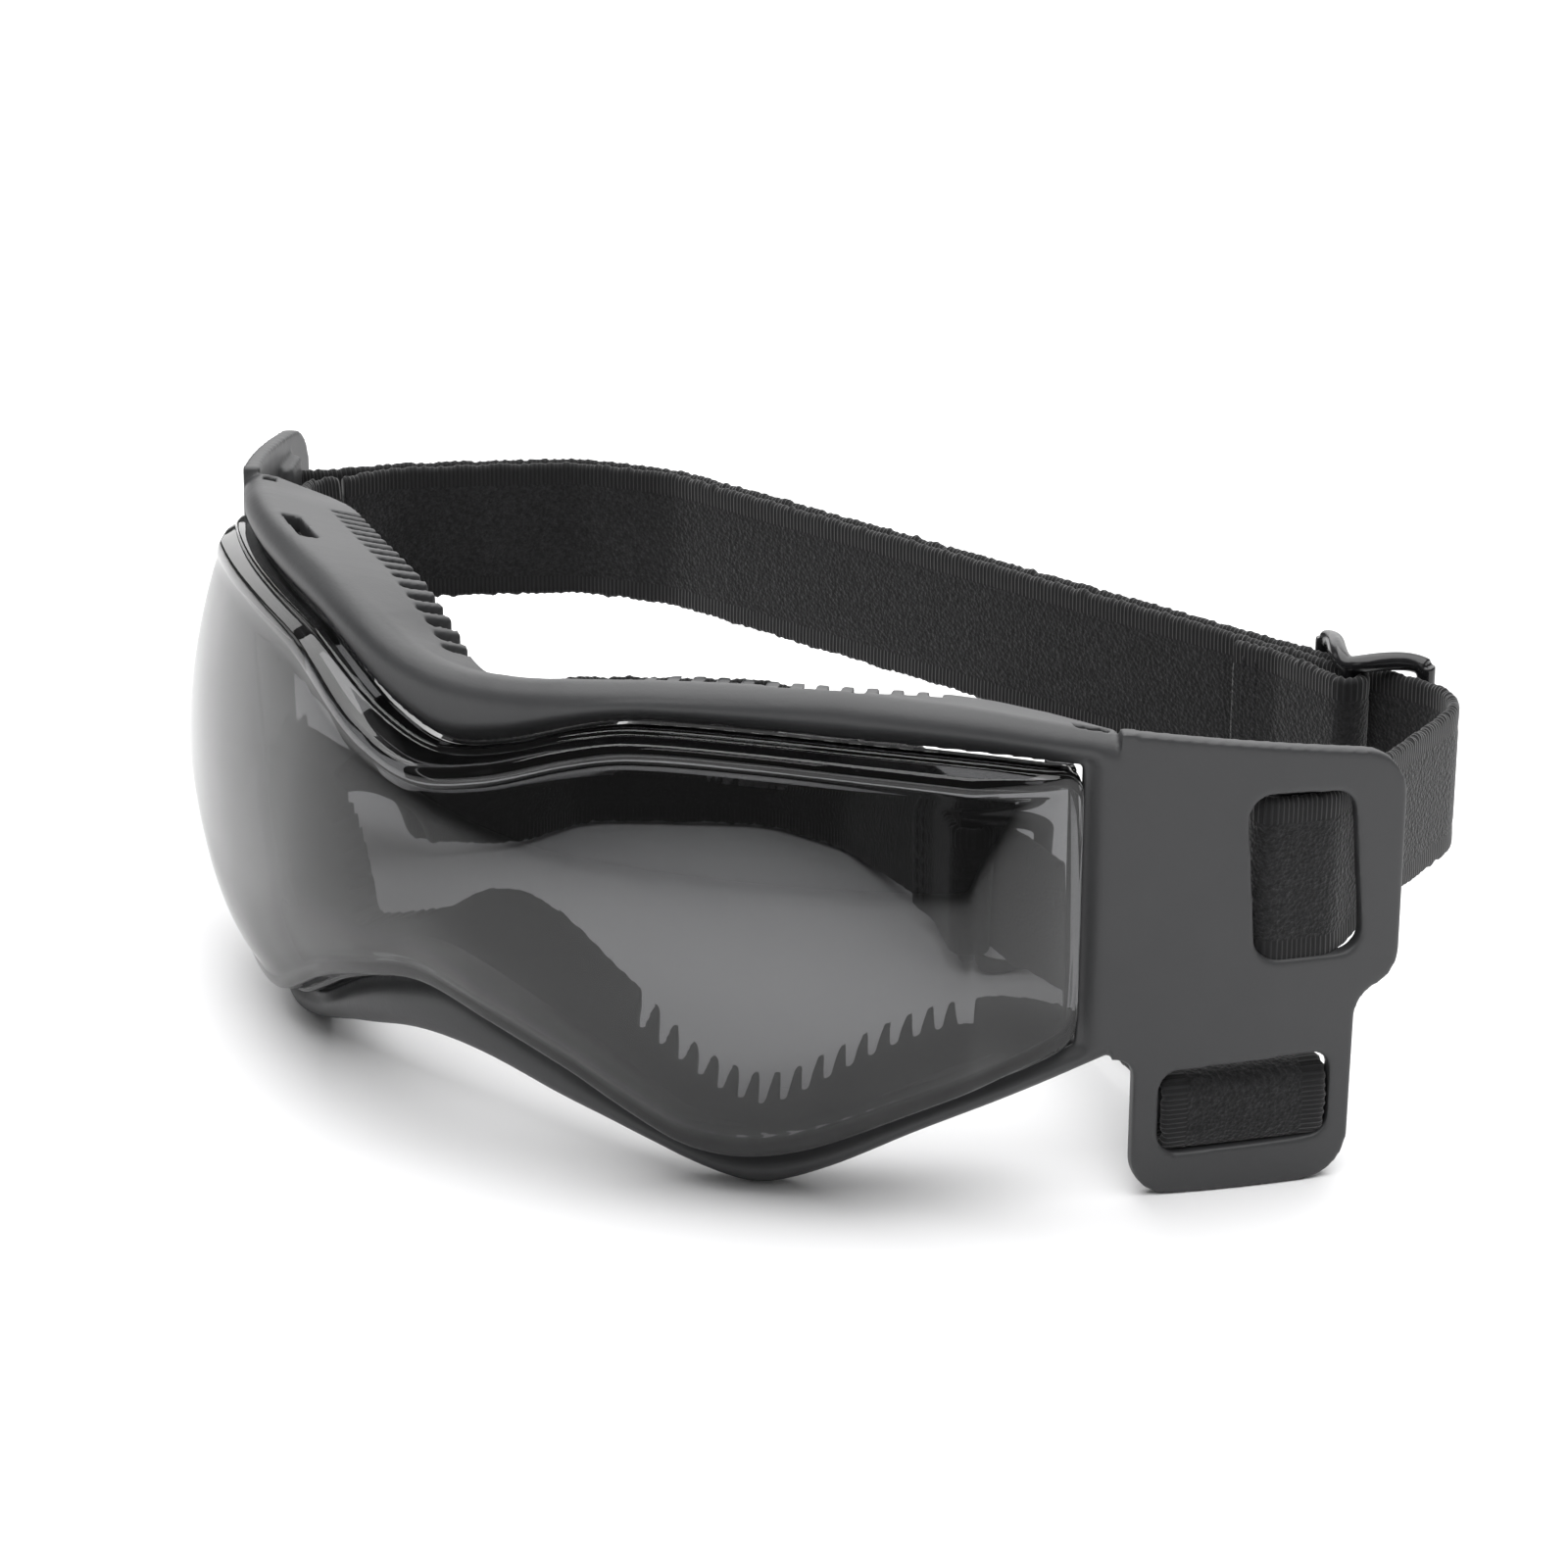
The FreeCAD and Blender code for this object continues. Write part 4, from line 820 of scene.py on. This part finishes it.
def stitch_rows(name, base, forward, across, out, rows, count=7):
    """Rows of stitches across the webbing, each row further forward."""
    spacing = (STRAP_WIDE - 3.0) / count
    parts = []
    for row in range(rows):
        for i in range(count):
            shift = -STRAP_WIDE / 2 + 1.5 + (i + 0.5) * spacing
            parts.append(stitch(base + forward * 2.0 * row + across * shift, across, out))
    points, faces = joined(parts)
    piece = add_mesh(name, points, faces)
    fix_normals(piece)
    return piece


def make_seams():
    """The four sewn seams, by the name of the CAD node each one stands for."""
    seams = {}
    depth = ROD_MIDDLE + ROD_TURN - STRAP_PITCH - STRAP_THICK / 2
    for which in ("head", "chin"):
        origin, along, away = slider_frame(which)
        base = origin - along * 16.4 + away * depth
        seams[which + "_slider_seam"] = stitch_rows(
            which + "_slider_stitches", base, along, UP, -away, 2)
    outer = head_routes()[0]
    start, end = np.array(outer[0][:2]), np.array(outer[1][:2])
    heading = np.append((end - start) / np.linalg.norm(end - start), 0.0)
    inwards = np.array([heading[1], -heading[0], 0.0])
    base = np.array([start[0], start[1], HEAD_HEIGHT]) + heading * 2 + inwards * STRAP_THICK / 2
    seams["head_wing_seam"] = stitch_rows("head_wing_stitches", base, heading, UP, inwards, 2)
    place, along, inwards = wing_axes(1, CHIN_BAR_PLACE)
    lift = CHIN_BAR_HEIGHT + STRAP_PITCH / 2 + STRAP_THICK / 2 + 0.25
    base = place + inwards * (TWIST_DEPTH - 0.8) + UP * lift
    seams["chin_wing_seam"] = stitch_rows("chin_wing_stitches", base, inwards, along, UP, 1)
    return seams


# ---------------------------------------------------------------- materials

def new_material(name):
    """A material with its node tree and its Principled shader."""
    material = bpy.data.materials.new(name)
    material.use_nodes = True
    tree = material.node_tree
    return material, tree, tree.nodes["Principled BSDF"]


def link(tree, a, b):
    tree.links.new(a, b)


def noise(tree, scale, detail=4.0, coordinates=None, rough=0.55):
    node = tree.nodes.new("ShaderNodeTexNoise")
    node.inputs["Scale"].default_value = scale
    node.inputs["Detail"].default_value = detail
    node.inputs["Roughness"].default_value = rough
    if coordinates is not None:
        link(tree, coordinates, node.inputs["Vector"])
    return node


def object_space(tree):
    return tree.nodes.new("ShaderNodeTexCoord").outputs["Object"]


def ramp(tree, value, stops):
    node = tree.nodes.new("ShaderNodeValToRGB")
    while len(node.color_ramp.elements) < len(stops):
        node.color_ramp.elements.new(0.5)
    for element, (place, colour) in zip(node.color_ramp.elements, stops):
        element.position = place
        element.color = (*colour, 1.0)
    link(tree, value, node.inputs["Fac"])
    return node.outputs["Color"]


def remap(tree, value, low, high):
    node = tree.nodes.new("ShaderNodeMapRange")
    node.inputs["To Min"].default_value = low
    node.inputs["To Max"].default_value = high
    link(tree, value, node.inputs["Value"])
    return node.outputs["Result"]


def bump(tree, shader, value, strength, distance, before=None):
    node = tree.nodes.new("ShaderNodeBump")
    node.inputs["Strength"].default_value = strength
    node.inputs["Distance"].default_value = distance
    link(tree, value, node.inputs["Height"])
    if before is not None:
        link(tree, before, node.inputs["Normal"])
    link(tree, node.outputs["Normal"], shader.inputs["Normal"])
    return node.outputs["Normal"]


def frame_material():
    """Soft-touch moulded plastic: fine spark-eroded grain and faint cloudy handling marks."""
    material, tree, shader = new_material("frame_tpu")
    space = object_space(tree)
    cloud = noise(tree, 45, 3, space)
    colour = ramp(tree, cloud.outputs["Fac"],
                  [(0.3, (0.031, 0.0315, 0.033)), (0.7, (0.040, 0.0405, 0.042))])
    link(tree, colour, shader.inputs["Base Color"])
    link(tree, remap(tree, cloud.outputs["Fac"], 0.42, 0.54), shader.inputs["Roughness"])
    grain = noise(tree, 2600, 2, space, 0.6)
    first = bump(tree, shader, grain.outputs["Fac"], 0.25, 0.0001)
    wave = noise(tree, 120, 2, space)
    bump(tree, shader, wave.outputs["Fac"], 0.12, 0.0004, first)
    return material


def lens_material():
    """Smoke polycarbonate: hard gloss outside, a body that darkens with thickness, soft shadow."""
    material, tree, shader = new_material("lens_smoke")
    smear = noise(tree, 60, 3, object_space(tree))
    link(tree, remap(tree, smear.outputs["Fac"], 0.008, 0.03), shader.inputs["Roughness"])
    shader.inputs["Base Color"].default_value = (0.36, 0.362, 0.368, 1)
    shader.inputs["IOR"].default_value = 1.5
    shader.inputs["Transmission Weight"].default_value = 1.0
    body = tree.nodes.new("ShaderNodeVolumeAbsorption")
    body.inputs["Color"].default_value = (0.02, 0.02, 0.025, 1)
    body.inputs["Density"].default_value = 560
    output = tree.nodes["Material Output"]
    link(tree, body.outputs["Volume"], output.inputs["Volume"])
    path = tree.nodes.new("ShaderNodeLightPath")
    clear = tree.nodes.new("ShaderNodeBsdfTransparent")
    clear.inputs["Color"].default_value = (0.5, 0.503, 0.51, 1)
    both = tree.nodes.new("ShaderNodeMixShader")
    link(tree, path.outputs["Is Shadow Ray"], both.inputs[0])
    link(tree, shader.outputs[0], both.inputs[1])
    link(tree, clear.outputs[0], both.inputs[2])
    link(tree, both.outputs[0], output.inputs["Surface"])
    return material


# Millimetres from one rib of the selvedge to the next.
RIB_PITCH = 0.62


def web_material():
    """Plush elastic: looped face, ribbed selvedges, and slightly greyed tips."""
    material, tree, shader = new_material("webbing")
    uv = tree.nodes.new("ShaderNodeUVMap")
    split = tree.nodes.new("ShaderNodeSeparateXYZ")
    link(tree, uv.outputs["UV"], split.inputs["Vector"])
    # 0 in the plush middle, 1 on the selvedges: |v - 0.5| in steps of a hundredth per mm.
    away = tree.nodes.new("ShaderNodeMath")
    away.operation = "SUBTRACT"
    link(tree, split.outputs["Y"], away.inputs[0])
    away.inputs[1].default_value = 0.5
    size = tree.nodes.new("ShaderNodeMath")
    size.operation = "ABSOLUTE"
    link(tree, away.outputs[0], size.inputs[0])
    selvedge = tree.nodes.new("ShaderNodeMapRange")
    selvedge.inputs["From Min"].default_value = 0.0685
    selvedge.inputs["From Max"].default_value = 0.0715
    link(tree, size.outputs[0], selvedge.inputs["Value"])

    space = object_space(tree)
    loops = tree.nodes.new("ShaderNodeTexVoronoi")
    loops.inputs["Scale"].default_value = 1900
    link(tree, space, loops.inputs["Vector"])
    fuzz = noise(tree, 1500, 4, space, 0.7)
    patch = noise(tree, 160, 3, space)
    pile = tree.nodes.new("ShaderNodeMath")
    pile.operation = "MULTIPLY"
    link(tree, fuzz.outputs["Fac"], pile.inputs[0])
    link(tree, loops.outputs["Distance"], pile.inputs[1])

    ribs = tree.nodes.new("ShaderNodeMath")
    ribs.operation = "MULTIPLY"
    link(tree, split.outputs["X"], ribs.inputs[0])
    ribs.inputs[1].default_value = 100 * 2 * math.pi / RIB_PITCH
    wave = tree.nodes.new("ShaderNodeMath")
    wave.operation = "SINE"
    link(tree, ribs.outputs[0], wave.inputs[0])

    height_mix = tree.nodes.new("ShaderNodeMix")
    link(tree, selvedge.outputs["Result"], height_mix.inputs["Factor"])
    link(tree, pile.outputs[0], height_mix.inputs["A"])
    link(tree, remap(tree, wave.outputs[0], 0.1, 0.4), height_mix.inputs["B"])
    bump(tree, shader, height_mix.outputs["Result"], 0.9, 0.00035)

    plush = ramp(tree, fuzz.outputs["Fac"],
                 [(0.36, (0.004, 0.004, 0.0044)), (0.74, (0.026, 0.026, 0.0275))])
    ribbed = ramp(tree, wave.outputs[0],
                  [(0.0, (0.007, 0.007, 0.0075)), (1.0, (0.017, 0.017, 0.018))])
    colour = tree.nodes.new("ShaderNodeMix")
    colour.data_type = "RGBA"
    link(tree, selvedge.outputs["Result"], colour.inputs["Factor"])
    link(tree, plush, colour.inputs["A"])
    link(tree, ribbed, colour.inputs["B"])
    tint = tree.nodes.new("ShaderNodeMix")
    tint.data_type = "RGBA"
    tint.blend_type = "MULTIPLY"
    tint.inputs["Factor"].default_value = 0.6
    link(tree, colour.outputs[2], tint.inputs["A"])
    link(tree, ramp(tree, patch.outputs["Fac"], [(0.35, (0.7, 0.7, 0.7)), (0.65, (1, 1, 1))]),
         tint.inputs["B"])
    link(tree, tint.outputs[2], shader.inputs["Base Color"])
    shader.inputs["Roughness"].default_value = 0.9
    shader.inputs["Sheen Weight"].default_value = 0.25
    shader.inputs["Sheen Roughness"].default_value = 0.5
    shader.inputs["Specular IOR Level"].default_value = 0.25
    return material


def thread_material():
    """Black twisted sewing thread."""
    material, tree, shader = new_material("thread")
    twist = tree.nodes.new("ShaderNodeTexWave")
    twist.inputs["Scale"].default_value = 900
    twist.bands_direction = "DIAGONAL"
    link(tree, object_space(tree), twist.inputs["Vector"])
    link(tree, ramp(tree, twist.outputs["Fac"], [(0, (0.006, 0.006, 0.007)), (1, (0.03, 0.03, 0.032))]),
         shader.inputs["Base Color"])
    bump(tree, shader, twist.outputs["Fac"], 0.5, 0.0001)
    shader.inputs["Roughness"].default_value = 0.7
    return material


def slider_material():
    """Glossy black moulded plastic with a light orange-peel and fine rubbing marks."""
    material, tree, shader = new_material("slider_plastic")
    space = object_space(tree)
    mark = noise(tree, 700, 3, space)
    link(tree, remap(tree, mark.outputs["Fac"], 0.12, 0.3), shader.inputs["Roughness"])
    link(tree, ramp(tree, mark.outputs["Fac"],
                    [(0.3, (0.007, 0.007, 0.008)), (0.8, (0.013, 0.013, 0.014))]),
         shader.inputs["Base Color"])
    peel = noise(tree, 900, 2, space)
    bump(tree, shader, peel.outputs["Fac"], 0.12, 0.0001)
    return material


def floor_material():
    """Matt white paper."""
    material, _, shader = new_material("paper_floor")
    shader.inputs["Base Color"].default_value = (0.9, 0.9, 0.905, 1)
    shader.inputs["Roughness"].default_value = 0.6
    shader.inputs["Specular IOR Level"].default_value = 0.2
    return material


# ---------------------------------------------------------------- stage

def add_camera():
    """Long lens, 41 degrees round to the wearer's left and 22 degrees up."""
    azimuth, elevation = math.radians(41.1886), math.radians(22.4074)
    target = Vector((0.0, (50.0 - FOOTPRINT_MIDDLE) * MM, 0.030))
    back = Vector((math.sin(azimuth) * math.cos(elevation), -math.cos(azimuth) * math.cos(elevation),
                   math.sin(elevation)))
    data = bpy.data.cameras.new("camera")
    distance = 0.69117
    data.sensor_width = 36.0
    data.lens = 119.25
    data.shift_x, data.shift_y = 0.0524, 0.0116
    data.clip_start, data.clip_end = 0.05, 20
    camera = bpy.data.objects.new("camera", data)
    camera.location = target + back * distance
    camera.rotation_mode = "QUATERNION"
    camera.rotation_quaternion = (-back).to_track_quat("-Z", "Y")
    bpy.context.scene.collection.objects.link(camera)
    bpy.context.scene.camera = camera


def add_area(name, place, target, size, power):
    """Rectangular soft light at place, turned towards target."""
    data = bpy.data.lights.new(name, "AREA")
    data.shape = "RECTANGLE"
    data.size, data.size_y = size
    data.energy = power
    lamp = bpy.data.objects.new(name, data)
    lamp.location = place
    aim = Vector(target) - Vector(place)
    lamp.rotation_mode = "QUATERNION"
    lamp.rotation_quaternion = aim.to_track_quat("-Z", "Y")
    bpy.context.scene.collection.objects.link(lamp)


def add_stage():
    """White floor, dim white surroundings and four soft lights."""
    mesh = bpy.data.meshes.new("floor")
    far = 6.0
    corners = [(-far, -far, 0), (far, -far, 0), (far, far, 0), (-far, far, 0)]
    mesh.from_pydata(corners, [], [(0, 1, 2, 3)])
    floor = bpy.data.objects.new("floor", mesh)
    mesh.materials.append(floor_material())
    bpy.context.scene.collection.objects.link(floor)
    world = bpy.data.worlds.new("studio")
    world.use_nodes = True
    back = world.node_tree.nodes["Background"]
    back.inputs["Color"].default_value = (1.0, 1.0, 1.0, 1)
    back.inputs["Strength"].default_value = 0.14
    bpy.context.scene.world = world
    add_area("overhead", (-0.04, 0.0, 0.95), (0, 0, 0), (1.6, 1.6), 27)
    add_area("backdrop", (-0.60, 0.95, 0.5), (0, 0, 0.05), (1.3, 0.8), 6)
    add_area("left_window", (-1.0, -0.10, 0.40), (0, -0.02, 0.03), (0.3, 0.5), 0.4)
    add_area("front_fill", (0.35, -1.2, 0.70), (0, 0, 0.03), (0.5, 0.4), 0.8)
    bpy.context.scene.view_settings.view_transform = "Standard"


# ---------------------------------------------------------------- putting it together

def dress(piece, material):
    """One material over the whole piece, under its slot's name."""
    piece.data.materials.clear()
    piece.data.materials.append(material)


def main():
    """Stage first, then each piece with its material and the CAD node it shows, and each but the
    straps' inner runs with its body.
    """
    add_camera()
    add_stage()
    web, thread, plastic = web_material(), thread_material(), slider_material()

    moulding = make_frame()
    dress(moulding, frame_material())
    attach(moulding, "root")
    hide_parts("frame")

    lens = make_lens()
    dress(lens, lens_material())
    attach(lens, "lens_body")
    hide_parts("lens")

    for which, make in (("head", make_head_strap), ("chin", make_chin_strap)):
        main_run, inner_run = make()
        dress(main_run, web)
        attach(main_run, "root")
        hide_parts(which + "_strap")
        dress(inner_run, web)
        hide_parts(which + "_strap_inner_run")
        origin, along, away = slider_frame(which)
        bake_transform(inner_run)
        slider = make_slider(which)
        dress(slider, plastic)
        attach(slider, which + "_slider_body")
        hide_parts(which + "_slider")
        end_loop = make_slider_end(which)
        dress(end_loop, web)
        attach(end_loop, which + "_slider_body")
        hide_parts(which + "_strap_slider_end")

    for node, seam in make_seams().items():
        dress(seam, thread)
        body = "root" if "wing" in node else node.split("_")[0] + "_slider_body"
        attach(seam, body)
        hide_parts(node)


main()
